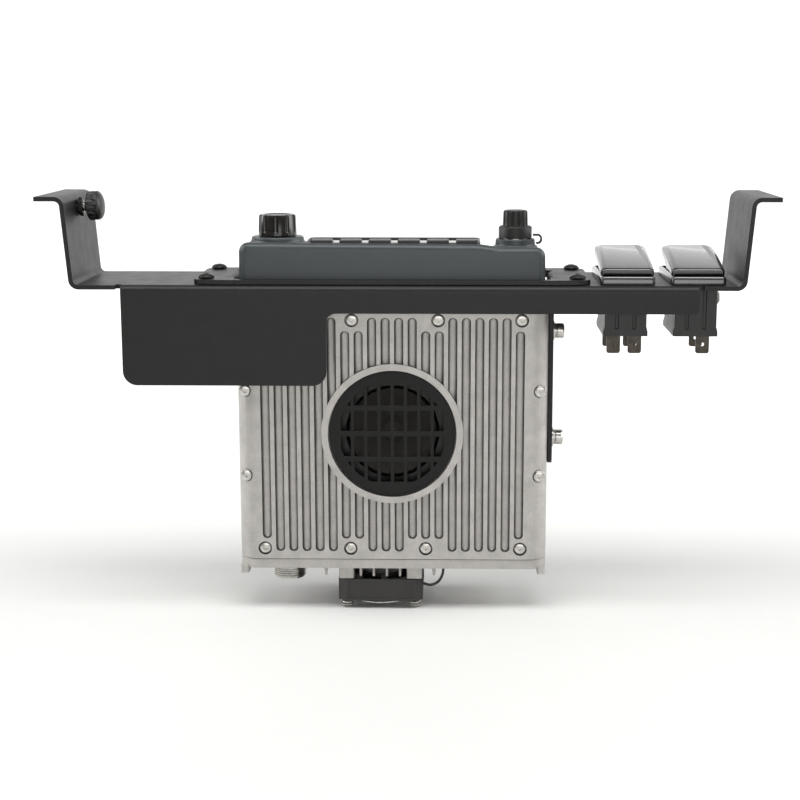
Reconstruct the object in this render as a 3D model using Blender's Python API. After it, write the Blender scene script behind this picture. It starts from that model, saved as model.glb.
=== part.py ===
"""A mobile transceiver hung face up in a sheet-metal bracket, with a cooling fan and two rocker switches.

Metres, +Z up. Pieces are placed from the bracket's plate: X across from its middle, Y back from its
front edge and Z up from its top face. The radio's own pieces measure X from the radio's middle.
The world origin is midway between the hanging flanges, level with their undersides.
"""

import math

import bmesh
import bpy
from mathutils import Matrix, Vector

# Driving dimensions.
GAP = 0.0003  # left between pieces that touch
SHEET = 0.002
BRACKET_HALF = 0.1674
BRACKET_DEPTH = 0.059
FLANGE_UNDERSIDE = 0.0377
WEB_FOOT = 0.152  # half distance between the webs' centre planes at the plate
WEB_HEAD = 0.1552  # the same at the flanges
BEND = 0.0035
LIP_LEFT, LIP_RIGHT = -0.1299, 0.1318
LIP_DROP = 0.0127
TONGUE_RIGHT = -0.0367
TONGUE_DROP = 0.046

RADIO_X = -0.007
BODY_HALF = 0.0722
BODY_FRONT, BODY_BACK = 0.0066, 0.0524
BODY_TOP, BODY_BOTTOM = -0.006, -0.1346
BODY_MIDDLE = (BODY_FRONT + BODY_BACK) / 2
EDGE_ROUND = 0.009
COVER_TOP, COVER_BOTTOM = -0.0103, -0.1299
COVER_BACK = 0.0156
CAVITY_HALF = 0.0625
CAVITY_TOP, CAVITY_BOTTOM = -0.0205, -0.1205

INSERT_HALF = 0.0905
INSERT_FRONT, INSERT_BACK = 0.002, 0.056
INSERT_TOP = GAP + SHEET
TAB_INNER = 0.0725
TAB_FRONT, TAB_BACK = 0.0145, 0.0435
BOLT_HEIGHTS = (-0.0244, -0.0756)

GROOVES = 20
GROOVE_PITCH = 0.0062
GROOVE_WIDTH = 0.0042
GROOVE_DEPTH = 0.0026
SPEAKER_Z = -0.0697
RING_OUTER, RING_INNER = 0.0329, 0.02985

BEZEL_HALF = 0.0702
BEZEL_BACK = 0.0514
BEZEL_FRONT_TOP = 0.0142
KNOB_X = -0.0541
MIC_X = 0.0568
KEYS = 6
KEY_PITCH = 0.0133
KEYS_MIDDLE = 0.001
KEY_WIDTH, KEY_DEPTH = 0.0102, 0.008
KEY_Y = 0.0142
KEY_TOP = 0.0198

FAN_X = -0.006
FAN_SIZE = 0.04
FAN_TOP, FAN_BOTTOM = -0.1408, -0.1515
FAN_HOLE = 0.016  # each way from the fan's middle
ANTENNA_X = -0.0507

SWITCHES = (0.1002, 0.1322)
SWITCH_WIDTH, SWITCH_LENGTH = 0.0248, 0.05
SWITCH_FRAME_HEIGHT = 0.0036
BASE_WIDTH, BASE_LENGTH = 0.0204, 0.0362
BASE_BOTTOM = -0.0244
ROCKER_TILT = math.radians(10)
ROCKER_PIVOT = 0.0026

THUMB_Y, THUMB_Z = 0.0285, 0.0333

FINISHES = {  # colour, roughness, metallic
    "black_powder_coat": ((0.028, 0.028, 0.030), 0.45, 0.0),
    "cast_aluminium": ((0.62, 0.60, 0.57), 0.45, 1.0),
    "blue_grey_plastic": ((0.09, 0.115, 0.13), 0.45, 0.0),
    "black_plastic": ((0.02, 0.02, 0.021), 0.4, 0.0),
    "gloss_black_plastic": ((0.012, 0.012, 0.013), 0.12, 0.0),
    "black_rubber": ((0.022, 0.021, 0.02), 0.8, 0.0),
    "bright_steel": ((0.65, 0.65, 0.66), 0.25, 1.0),
    "black_steel": ((0.03, 0.03, 0.032), 0.35, 0.6),
    "clear_window": ((0.02, 0.022, 0.025), 0.05, 0.0),
    "circuit_board": ((0.02, 0.12, 0.05), 0.5, 0.0),
    "paper_cone": ((0.06, 0.055, 0.05), 0.9, 0.0),
    "brass": ((0.72, 0.55, 0.25), 0.3, 1.0),
}


# Outlines.


def distinct(points):
    """The outline without any point that repeats the one before it."""
    return [p for i, p in enumerate(points) if (Vector(p) - Vector(points[i - 1])).length > 1e-6]


def filleted(corners, steps=3):
    """An outline through (u, v, radius) corners, each rounded to its radius."""
    points = []
    for i, (u, v, radius) in enumerate(corners):
        here = Vector((u, v))
        if radius == 0:
            points.append((u, v))
            continue
        back = (Vector(corners[i - 1][:2]) - here).normalized()
        ahead = (Vector(corners[(i + 1) % len(corners)][:2]) - here).normalized()
        half = back.angle(ahead) / 2
        centre = here + (back + ahead).normalized() * radius / math.sin(half)
        start = here + back * radius / math.tan(half) - centre
        end = here + ahead * radius / math.tan(half) - centre
        first = math.atan2(start.y, start.x)
        sweep = (math.atan2(end.y, end.x) - first + math.pi) % math.tau - math.pi
        for step in range(steps + 1):
            angle = first + sweep * step / steps
            points.append((centre.x + radius * math.cos(angle), centre.y + radius * math.sin(angle)))
    return distinct(points)


def rectangle(left, low, right, high, radius=0.0, steps=3):
    corners = ((left, low), (right, low), (right, high), (left, high))
    return filleted([(u, v, radius) for u, v in corners], steps)


def circle(radius, sides, centre=(0.0, 0.0)):
    turns = [math.tau * (i + 0.5) / sides for i in range(sides)]
    return [(centre[0] + radius * math.cos(t), centre[1] + radius * math.sin(t)) for t in turns]


def bent_strip(path, thickness, radius, steps=3):
    """The outline of sheet metal that follows a path of (u, v) corners with round bends."""
    middle = []
    for i, corner in enumerate(path):
        here = Vector(corner)
        if i in (0, len(path) - 1):
            middle.append(here)
            continue
        back = (Vector(path[i - 1]) - here).normalized()
        ahead = (Vector(path[i + 1]) - here).normalized()
        half = back.angle(ahead) / 2
        centre = here + (back + ahead).normalized() * radius / math.sin(half)
        start = here + back * radius / math.tan(half) - centre
        end = here + ahead * radius / math.tan(half) - centre
        first = math.atan2(start.y, start.x)
        sweep = (math.atan2(end.y, end.x) - first + math.pi) % math.tau - math.pi
        for step in range(steps + 1):
            angle = first + sweep * step / steps
            middle.append(centre + Vector((math.cos(angle), math.sin(angle))) * radius)
    left, right = [], []
    for i, point in enumerate(middle):
        before = middle[max(i - 1, 0)]
        after = middle[min(i + 1, len(middle) - 1)]
        along = (after - before).normalized()
        side = Vector((-along.y, along.x)) * thickness / 2
        left.append(tuple(point + side))
        right.append(tuple(point - side))
    return left + right[::-1]


# Closed meshes.


def solid(rings, closed=False):
    """A closed mesh through rings of points: capped at both ends, or joined end to end."""
    bm = bmesh.new()
    rows = [[bm.verts.new(point) for point in ring] for ring in rings]
    for low, high in zip(rows, rows[1:] + (rows[:1] if closed else [])):
        for i in range(len(low)):
            bm.faces.new((low[i - 1], low[i], high[i], high[i - 1]))
    if not closed:
        bm.faces.new(rows[0])
        bm.faces.new(rows[-1])
    bmesh.ops.remove_doubles(bm, verts=bm.verts, dist=1e-7)
    bmesh.ops.recalc_face_normals(bm, faces=bm.faces)
    mesh = bpy.data.meshes.new("solid")
    bm.to_mesh(mesh)
    bm.free()
    return mesh


def point_on(axis, u, v, w):
    """(x, y, z) of outline point (u, v) at w along the axis."""
    return {"X": (w, u, v), "Y": (u, w, v), "Z": (u, v, w)}[axis]


def prism(outline, low, high, axis="Z"):
    """An outline extruded along an axis: (x, y) along Z, (x, z) along Y or (y, z) along X."""
    return solid([[point_on(axis, u, v, w) for u, v in outline] for w in (low, high)])


def taper(low_outline, low, high_outline, high):
    """A solid along Z between two outlines with the same number of points."""
    return solid([[(u, v, w) for u, v in outline] for outline, w in ((low_outline, low), (high_outline, high))])


def box(x, y, z):
    """A box from (low, high) along each axis."""
    return prism(rectangle(x[0], y[0], x[1], y[1]), *z)


def turned(profile, sides, axis="Z", centre=(0.0, 0.0), closed=False):
    """A profile of (radius, place along the axis) turned about the axis."""
    rings = []
    for radius, along in profile:
        ring = circle(radius, sides, centre)
        rings.append([point_on(axis, u, v, along) for u, v in ring])
    return solid(rings, closed)


def merged(*meshes):
    bm = bmesh.new()
    for mesh in meshes:
        bm.from_mesh(mesh)
    mesh = bpy.data.meshes.new("merged")
    bm.to_mesh(mesh)
    bm.free()
    return mesh


def moved(mesh, offset=(0, 0, 0), turn=0.0, axis="Z"):
    mesh.transform(Matrix.Translation(offset) @ Matrix.Rotation(turn, 4, axis))
    return mesh


# Objects.


def finish_material(name):
    if name in bpy.data.materials:
        return bpy.data.materials[name]
    colour, roughness, metallic = FINISHES[name]
    material = bpy.data.materials.new(name)
    material.use_nodes = True
    shader = material.node_tree.nodes["Principled BSDF"]
    shader.inputs["Base Color"].default_value = (*colour, 1)
    shader.inputs["Roughness"].default_value = roughness
    shader.inputs["Metallic"].default_value = metallic
    material.diffuse_color = (*colour, 1)
    return material


def guide(name, location, parent=None):
    empty = bpy.data.objects.new(name, None)
    empty.location = location
    empty.parent = parent
    bpy.context.scene.collection.objects.link(empty)
    return empty


def piece(name, mesh, finish, parent, at=(0, 0, 0)):
    """An object of its own, whose mesh is measured from its place on the parent."""
    mesh.name = name
    mesh.shade_smooth()
    mesh.set_sharp_from_angle(angle=math.radians(35))
    obj = bpy.data.objects.new(name, mesh)
    obj.parent = parent
    obj.location = at
    obj.data.materials.append(finish_material(finish))
    bpy.context.scene.collection.objects.link(obj)
    return obj


def boolean(obj, operation, *meshes):
    """Cuts the meshes from the object, or joins them to it, through one hidden helper."""
    helper = bpy.data.objects.new(f"{obj.name}_helper_{len(obj.modifiers)}", merged(*meshes))
    helper.parent = obj.parent
    helper.location = obj.location
    helper.rotation_euler = obj.rotation_euler
    helper.hide_render = True
    helper.display_type = "WIRE"
    bpy.context.scene.collection.objects.link(helper)
    modifier = obj.modifiers.new(operation.lower(), "BOOLEAN")
    modifier.operation = operation
    modifier.object = helper
    return helper


def cut(obj, *meshes):
    return boolean(obj, "DIFFERENCE", *meshes)


def join(obj, *meshes):
    return boolean(obj, "UNION", *meshes)


# Bracket, insert plate and their fasteners.


def web_slope():
    """How far the webs lean outwards, as an angle."""
    return math.atan((WEB_HEAD - WEB_FOOT) / (FLANGE_UNDERSIDE + SHEET))


def insert_screw_places():
    return [
        (x, y)
        for x in (RADIO_X - 0.0848, RADIO_X + 0.0846)
        for y in (INSERT_FRONT + 0.0065, INSERT_BACK - 0.0065)
    ]


def thumb_frame(parent):
    """An empty on the left web whose X runs inwards, square to the web."""
    lean = math.tan(web_slope())
    empty = guide("thumb_frame", (-WEB_FOOT - (THUMB_Z + SHEET / 2) * lean, THUMB_Y, THUMB_Z), parent)
    empty.rotation_euler.y = -web_slope()
    return empty


def make_bracket(parent):
    flange = FLANGE_UNDERSIDE + SHEET / 2
    half = [(WEB_FOOT, -SHEET / 2), (WEB_HEAD, flange), (BRACKET_HALF, flange)]
    path = [(-x, z) for x, z in half[::-1]] + half
    bracket = piece(
        "mounting_bracket",
        prism(bent_strip(path, SHEET, BEND), 0, BRACKET_DEPTH, "Y"),
        "black_powder_coat",
        parent,
    )
    lip = filleted(
        [
            (LIP_LEFT, -SHEET / 2, 0),
            (LIP_LEFT, -TONGUE_DROP, 0.0065),
            (TONGUE_RIGHT, -TONGUE_DROP, 0.0065),
            (TONGUE_RIGHT, -LIP_DROP, 0.0045),
            (LIP_RIGHT, -LIP_DROP, 0.0025),
            (LIP_RIGHT, -SHEET / 2, 0),
        ]
    )
    join(bracket, prism(lip, 0, SHEET, "Y"))
    openings = [prism(rectangle(-0.087, 0.0055, 0.073, 0.0535, 0.003), -0.003, 0.001)]
    for x in SWITCHES:
        half_width, half_length = BASE_WIDTH / 2 + GAP, BASE_LENGTH / 2 + GAP
        middle = BRACKET_DEPTH / 2
        outline = rectangle(x - half_width, middle - half_length, x + half_width, middle + half_length)
        openings.append(prism(outline, -0.003, 0.001))
    openings += [prism(circle(0.0022, 10, place), -0.003, 0.001) for place in insert_screw_places()]
    lean = math.tan(web_slope())
    stud_hole = turned([(0.003, -0.004), (0.003, 0.004)], 12, "X")
    centre = (-WEB_FOOT - (THUMB_Z + SHEET / 2) * lean, THUMB_Y, THUMB_Z)
    openings.append(moved(stud_hole, centre, -web_slope(), "Y"))
    cut(bracket, *openings)


def make_insert(parent):
    plate = rectangle(-INSERT_HALF, INSERT_FRONT, INSERT_HALF, INSERT_BACK, 0.007)
    insert = piece("insert_plate", prism(plate, GAP, INSERT_TOP), "black_powder_coat", parent)
    opening = rectangle(-TAB_INNER, 0.006, TAB_INNER, 0.052, 0.002)
    holes = [
        prism(circle(0.0022, 10, (x - RADIO_X, y)), -0.001, 0.004) for x, y in insert_screw_places()
    ]
    cut(insert, prism(opening, -0.001, 0.004), *holes)
    tabs = []
    for side, foot in ((1, -0.0856), (-1, -0.0344)):
        outline = filleted(
            [
                (TAB_FRONT, foot, 0.004),
                (TAB_BACK, foot, 0.004),
                (TAB_BACK, GAP + SHEET / 2, 0),
                (TAB_FRONT, GAP + SHEET / 2, 0),
            ]
        )
        inner, outer = sorted((side * TAB_INNER, side * (TAB_INNER + SHEET)))
        tabs.append(prism(outline, inner, outer, "X"))
    join(insert, *tabs)
    bolts = ((1, BOLT_HEIGHTS[0]), (1, BOLT_HEIGHTS[1]), (-1, BOLT_HEIGHTS[0]))
    for side, z in bolts:
        low, high = sorted((side * (TAB_INNER - 0.002), side * (TAB_INNER + 0.004)))
        cut(insert, prism(circle(0.0023, 10, (BODY_MIDDLE, z)), low, high, "X"))


def make_insert_screws(parent):
    """Button-head socket screws that hold the insert plate down."""
    profile = [
        (0.0, -0.0082),
        (0.0017, -0.0082),
        (0.0018, 0),
        (0.0037, 0),
        (0.0036, 0.0008),
        (0.0026, 0.0019),
        (0.0015, 0.0022),
        (0.0015, 0.0009),
        (0.0, 0.0009),
    ]
    for number, (x, y) in enumerate(insert_screw_places(), 1):
        at = (x, y, INSERT_TOP + GAP)
        piece(f"insert_screw_{number}", turned(profile, 10), "black_steel", parent, at)


def make_side_bolts(parent):
    """Washer-head bolts that hold the radio between the insert plate's tabs."""
    profile = [
        (0.0, -0.0092),
        (0.0019, -0.0092),
        (0.002, 0),
        (0.0046, 0),
        (0.0046, 0.001),
        (0.0037, 0.0011),
        (0.0037, 0.0046),
        (0.0033, 0.0055),
        (0.0017, 0.0055),
        (0.0016, 0.003),
        (0.0, 0.003),
    ]
    seat = TAB_INNER + SHEET + GAP
    bolts = (("upper", 1, 0), ("lower", 1, 1), ("left", -1, 0))
    for name, side, height in bolts:
        piece(
            f"side_bolt_{name}",
            turned([(radius, side * along) for radius, along in profile], 12, "X"),
            "bright_steel",
            parent,
            (side * seat, BODY_MIDDLE, BOLT_HEIGHTS[height]),
        )


def make_thumb_screw(parent):
    nut = [(0.0028, 0.0013), (0.0044, 0.0013), (0.0044, 0.0033), (0.0028, 0.0033)]
    piece("thumb_nut", turned(nut, 6, "X", closed=True), "black_steel", parent)
    stud = [(0.0, -0.001), (0.0021, -0.001), (0.0025, -0.0006), (0.0025, 0.0112), (0.0, 0.0112)]
    piece("thumb_stud", turned(stud, 12, "X"), "bright_steel", parent)
    knob = [
        (0.0, 0.0115),
        (0.0028, 0.0115),
        (0.0028, 0.0054),
        (0.0058, 0.0054),
        (0.0067, 0.0062),
        (0.0067, 0.0106),
        (0.0062, 0.0118),
        (0.0042, 0.0126),
        (0.0, 0.0129),
    ]
    piece("thumb_knob", turned(knob, 24, "X"), "black_plastic", parent)


# Radio body.


def cover_screw_places():
    """(x, z) of the cover's screws: a row along the top, a row along the bottom and two down each side."""
    top = [(x, -0.0166) for x in (-0.0596, -0.0185, 0.0212, 0.0595)]
    bottom = [(x, -0.1248) for x in (-0.06, -0.0197, 0.0155, 0.0597)]
    sides = [(x, z) for x in (-0.0684, 0.0684) for z in (-0.0496, -0.0898)]
    return top + bottom + sides


def body_outline(front, back, front_round=EDGE_ROUND):
    return filleted(
        [
            (-BODY_HALF, front, front_round),
            (BODY_HALF, front, front_round),
            (BODY_HALF, back, 0.005),
            (-BODY_HALF, back, 0.005),
        ],
        4,
    )


def make_chassis(parent):
    """The cast tray that holds the boards, with the rear wall that carries the fan and the antenna socket."""
    chassis = piece(
        "chassis",
        prism(body_outline(BODY_FRONT + 0.0004, BODY_BACK), BODY_BOTTOM, BODY_TOP),
        "cast_aluminium",
        parent,
    )
    wide = BODY_HALF + 0.002
    cover_room = box((-wide, wide), (0, COVER_BACK + GAP), (COVER_BOTTOM - GAP, COVER_TOP + GAP))
    cut(chassis, cover_room)
    cavity = box((-CAVITY_HALF, CAVITY_HALF), (0.01, 0.0484), (CAVITY_BOTTOM, CAVITY_TOP))
    screw_holes = [
        prism(circle(0.0017, 8, place), 0.01, 0.0252, "Y") for place in cover_screw_places()
    ]
    screw_holes += [
        prism(circle(0.0023, 10, (BODY_MIDDLE, z)), *sorted((side * 0.061, side * 0.0755)), "X")
        for side, z in ((1, BOLT_HEIGHTS[0]), (-1, BOLT_HEIGHTS[0]), (1, BOLT_HEIGHTS[1]))
    ]
    cut(chassis, cavity)
    cut(chassis, *screw_holes)
    cut(chassis, prism(circle(0.0082, 16, (ANTENNA_X, BODY_MIDDLE)), -0.14, -0.115))
    ribs = []
    for i in range(11):
        x = (i - 5) * 0.0124
        ribs.append(box((x - 0.0021, x + 0.0021), (0.0504, 0.06), (-0.126, -0.0146)))
    cut(chassis, *ribs)
    posts, post_holes = [], []
    for side in (-1, 1):
        for y in (BODY_MIDDLE - FAN_HOLE, BODY_MIDDLE + FAN_HOLE):
            x = FAN_X + side * FAN_HOLE
            posts.append(prism(circle(0.0036, 8, (x, y)), FAN_TOP + GAP, BODY_BOTTOM + 0.001))
            post_holes.append(prism(circle(0.0019, 8, (x, y)), FAN_TOP - 0.001, BODY_BOTTOM + 0.002))
    fins = [
        box(
            (FAN_X + i * GROOVE_PITCH - 0.0006, FAN_X + i * GROOVE_PITCH + 0.0006),
            (0.0095, 0.0485),
            (BODY_BOTTOM - 0.0046, BODY_BOTTOM + 0.001),
        )
        for i in (-1.5, -0.5, 0.5, 1.5)
    ]
    feet = [
        box(
            sorted((side * 0.068, side * 0.0718)),
            (y - 0.004, y + 0.004),
            (BODY_BOTTOM - 0.0027, BODY_BOTTOM + 0.001),
        )
        for side in (-1, 1)
        for y in (0.0116, 0.0425)
    ]
    spikes = [
        taper(
            circle(0.0004, 6, (x, 0.0096)),
            BODY_BOTTOM - 0.0042,
            circle(0.0012, 6, (x, 0.0096)),
            BODY_BOTTOM + 0.001,
        )
        for x in (-0.0316, 0.0194)
    ]
    join(chassis, *posts, *fins, *feet, *spikes)
    cut(chassis, *post_holes)


def groove_ends(i):
    """Top and bottom of groove i: the ones that pass a screw stop short of it."""
    mirrored = min(i, GROOVES - 1 - i)
    top = -0.0217 if mirrored in (0, 6, 7) else -0.0155
    bottom = -0.12 if mirrored in (0, 6, 7) or i == 11 else -0.1262
    return top, bottom


def make_cover(parent):
    """The ribbed cover: an open-backed shell with a raised ring around the loudspeaker."""
    outline = filleted(
        [
            (-BODY_HALF, BODY_FRONT, EDGE_ROUND - 0.0002),
            (BODY_HALF, BODY_FRONT, EDGE_ROUND - 0.0002),
            (BODY_HALF, COVER_BACK, 0),
            (-BODY_HALF, COVER_BACK, 0),
        ],
        5,
    )
    cover = piece("bottom_cover", prism(outline, COVER_BOTTOM, COVER_TOP), "cast_aluminium", parent)
    inside = box((-CAVITY_HALF, CAVITY_HALF), (0.0118, 0.017), (CAVITY_BOTTOM, CAVITY_TOP))
    grooves = []
    for i in range(GROOVES):
        x = (i - (GROOVES - 1) / 2) * GROOVE_PITCH
        top, bottom = groove_ends(i)
        slot = rectangle(
            x - GROOVE_WIDTH / 2, bottom, x + GROOVE_WIDTH / 2, top, GROOVE_WIDTH / 2 - 1e-5, 2
        )
        grooves.append(prism(slot, BODY_FRONT - 0.001, BODY_FRONT + GROOVE_DEPTH, "Y"))
    cut(cover, inside, *grooves)
    middle = (0, SPEAKER_Z)
    join(cover, prism(circle(RING_OUTER, 32, middle), BODY_FRONT - 0.0008, 0.0117, "Y"))
    cut(cover, prism(circle(RING_INNER, 32, middle), 0, 0.0086, "Y"))
    cut(cover, prism(circle(0.027, 24, middle), 0, 0.014, "Y"))
    recesses = []
    for place in cover_screw_places():
        recesses.append(turned(
            [(0.0, 0.004), (0.0031, 0.004), (0.0031, 0.0088), (0.0017, 0.0088), (0.0017, 0.02), (0.0, 0.02)],
            10,
            "Y",
            place,
        ))
    cut(cover, *recesses)


def make_cover_screws(parent):
    profile = [
        (0.0, 0.0),
        (0.0019, 0.0002),
        (0.0027, 0.0009),
        (0.0027, 0.0019),
        (0.0014, 0.0019),
        (0.0014, 0.0175),
        (0.0, 0.0175),
    ]
    for number, (x, z) in enumerate(cover_screw_places(), 1):
        at = (x, BODY_FRONT, z)
        piece(f"cover_screw_{number:02}", turned(profile, 8, "Y"), "bright_steel", parent, at)


def make_speaker(parent):
    """The loudspeaker behind the ring: grille, basket with its magnet, and cone."""
    columns, rows = 8, 4
    column_pitch, row_pitch = 0.00615, 0.0121
    slot_width, slot_height = 0.00445, 0.0095
    field = 0.0248
    at = (0, 0, SPEAKER_Z)
    grille = piece(
        "speaker_grille", prism(circle(RING_INNER - GAP, 32), 0.0068, 0.0083, "Y"), "black_steel", parent, at
    )
    slots = []
    for column in range(columns):
        x = (column - (columns - 1) / 2) * column_pitch
        left, right = x - slot_width / 2, x + slot_width / 2
        for row in range(rows):
            z = (row - (rows - 1) / 2) * row_pitch
            reach = math.sqrt(field**2 - max(abs(left), abs(right)) ** 2)
            low, high = max(z - slot_height / 2, -reach), min(z + slot_height / 2, reach)
            if high - low > 0.002:
                slots.append(prism(rectangle(left, low, right, high), 0.005, 0.01, "Y"))
    cut(grille, *slots)
    basket = [
        (0.0, 0.024),
        (0.01, 0.024),
        (0.022, 0.0145),
        (0.022, 0.0122),
        (0.0275, 0.0122),
        (0.0275, 0.0134),
        (0.024, 0.0134),
        (0.024, 0.0155),
        (0.012, 0.0255),
        (0.017, 0.0255),
        (0.017, 0.034),
        (0.0, 0.034),
    ]
    piece("speaker_frame", turned(basket, 20, "Y"), "black_steel", parent, at)
    cone = [
        (0.0, 0.0165),
        (0.004, 0.017),
        (0.0065, 0.0186),
        (0.0205, 0.0128),
        (0.0205, 0.0134),
        (0.0072, 0.0196),
        (0.0068, 0.0222),
        (0.0, 0.0222),
    ]
    piece("speaker_cone", turned(cone, 20, "Y"), "paper_cone", parent, at)


def key_x(i):
    return KEYS_MIDDLE + (i - (KEYS - 1) / 2) * KEY_PITCH


def make_boards(parent):
    """The main board in the chassis and the control board behind the front panel."""
    main = piece(
        "main_board", box((-0.058, 0.058), (0.0428, 0.0444), (-0.116, -0.026)), "circuit_board", parent
    )
    shield = box((-0.05, -0.012), (0.038, 0.043), (-0.066, -0.034))
    power_stage = box((0.012, 0.046), (0.037, 0.043), (-0.108, -0.09))
    capacitors = [prism(circle(0.004, 8, (x, -0.078)), 0.034, 0.043, "Y") for x in (-0.03, -0.018, 0.03)]
    join(main, shield, power_stage, *capacitors)
    control = piece(
        "control_board", box((-0.064, 0.064), (0.0105, 0.0475), (-0.0036, -0.002)), "circuit_board", parent
    )
    display = box((-0.038, 0.038), (0.0215, 0.0415), (-0.0025, 0.0085))
    key_posts = [
        box((key_x(i) - 0.003, key_x(i) + 0.003), (KEY_Y - 0.003, KEY_Y + 0.003), (-0.0025, 0.0055))
        for i in range(KEYS)
    ]
    join(control, display, *key_posts)
    join(control, box((-0.0362, 0.0362), (0.0233, 0.0412), (0.008, 0.0155)))


# Front panel and controls.


def make_bezel(parent):
    """The moulded front panel: an open-backed shell with a knob pedestal, a socket boss and a hooded window."""
    front_view = filleted(
        [
            (-BEZEL_HALF, -0.0057, 0),
            (BEZEL_HALF, -0.0057, 0),
            (BEZEL_HALF - 0.0004, 0.0166, 0.003),
            (0.049, 0.0166, 0.003),
            (0.0395, 0.018, 0.003),
            (-BEZEL_HALF + 0.0004, 0.0186, 0.003),
        ]
    )
    # The face falls away towards the back, so its outline drops between the front ring and the back one.
    fall = {BODY_FRONT: -0.0004, BEZEL_BACK: 0.0038}
    shell = solid([[(x, y, z - drop if z > 0 else z) for x, z in front_view] for y, drop in fall.items()])
    bezel = piece("front_bezel", shell, "blue_grey_plastic", parent)
    wide = BEZEL_HALF + 0.002
    front_slope = [(BODY_FRONT - 0.001, BEZEL_FRONT_TOP), (BODY_FRONT, BEZEL_FRONT_TOP)]
    front_slope += [(0.0076, 0.0166), (0.0102, 0.0192), (BODY_FRONT - 0.001, 0.0192)]
    back_slope = [(BEZEL_BACK + 0.001, 0.0098), (BEZEL_BACK, 0.0098), (0.0492, 0.0146)]
    back_slope += [(0.048, 0.0192), (BEZEL_BACK + 0.001, 0.0192)]
    cut(bezel, prism(front_slope, -wide, wide, "X"), prism(back_slope, -wide, wide, "X"))
    inside = box((-0.0665, 0.0665), (0.0094, 0.0486), (-0.007, 0.0095))
    surround = prism(rectangle(-0.0405, 0.0195, 0.0405, 0.0474, 0.003), 0.0115, 0.0177)
    face = prism(rectangle(-0.0396, 0.0204, 0.0396, 0.0465, 0.0024), 0.0157, 0.03)
    keys = [
        box(
            (key_x(i) - KEY_WIDTH / 2 - GAP, key_x(i) + KEY_WIDTH / 2 + GAP),
            (KEY_Y - KEY_DEPTH / 2 - GAP, KEY_Y + KEY_DEPTH / 2 + GAP),
            (0.005, 0.03),
        )
        for i in range(KEYS)
    ]
    cut(bezel, inside)
    join(bezel, surround)
    cut(bezel, face, *keys)
    window_light = box((-0.037, 0.037), (0.0225, 0.0445), (0.005, 0.0165))
    cut(bezel, window_light)
    pedestal = taper(
        circle(0.0124, 24, (KNOB_X, BODY_MIDDLE)), 0.0125, circle(0.0118, 24, (KNOB_X, BODY_MIDDLE)), 0.0198
    )
    boss = taper(
        circle(0.0092, 20, (MIC_X, BODY_MIDDLE)), 0.0115, circle(0.0089, 20, (MIC_X, BODY_MIDDLE)), 0.0189
    )
    join(bezel, pedestal, boss)
    knob_hole = prism(circle(0.0047, 12, (KNOB_X, BODY_MIDDLE)), 0.005, 0.03)
    mic_hole = prism(circle(0.0068, 16, (MIC_X, BODY_MIDDLE)), 0.005, 0.03)
    cut(bezel, knob_hole, mic_hole)
    window = prism(rectangle(-0.0393, 0.0207, 0.0393, 0.0462, 0.0021), 0.016, 0.017)
    piece("display_window", window, "clear_window", parent)


def make_keys(parent):
    """Six keys whose skirts are wider than their openings, so that they stay in."""
    half_width, half_depth = KEY_WIDTH / 2, KEY_DEPTH / 2
    for i in range(KEYS):
        body = rectangle(-half_width, -half_depth, half_width, half_depth)
        top = rectangle(-half_width + 0.0006, -half_depth + 0.0006, half_width - 0.0006, half_depth - 0.0006)
        skirt = rectangle(-half_width - 0.0005, -half_depth - 0.0005, half_width + 0.0005, half_depth + 0.0005)
        rings = ((skirt, 0.0072), (skirt, 0.0091), (body, 0.0091), (body, 0.0193), (top, KEY_TOP))
        mesh = solid([[(u, v, w) for u, v in outline] for outline, w in rings])
        piece(f"key_{i + 1}", mesh, "black_plastic", parent, (key_x(i), KEY_Y, 0))


def make_volume(parent):
    """A fluted knob on the shaft of a rotary encoder."""
    at = (KNOB_X, BODY_MIDDLE, 0)
    flutes = 10
    radius_base, radius_top = 0.00885, 0.0085
    knob = piece(
        "volume_knob",
        turned(
            [
                (0.0, 0.002),
                (0.003, 0.002),
                (0.003, 0.0202),
                (radius_base, 0.0202),
                (radius_top, 0.0293),
                (radius_top - 0.0007, 0.03),
                (0.0, 0.03),
            ],
            30,
        ),
        "black_plastic",
        parent,
        at,
    )
    grooves = []
    for i in range(flutes):
        turn = math.tau * (i + 0.5) / flutes
        centre = ((radius_base + 0.0002) * math.cos(turn), (radius_base + 0.0002) * math.sin(turn))
        grooves.append(prism(circle(0.00145, 6, centre), 0.0222, 0.032))
    cut(knob, *grooves)
    bush = [
        (0.0033, 0.003),
        (0.0042, 0.003),
        (0.0042, 0.018),
        (0.0033, 0.018),
    ]
    encoder = piece("volume_encoder", turned(bush, 12, closed=True), "bright_steel", parent, at)
    join(encoder, box((-0.006, 0.006), (-0.006, 0.006), (-0.0016, 0.0042)))
    cut(encoder, prism(circle(0.0033, 12), 0.0014, 0.006))


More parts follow.
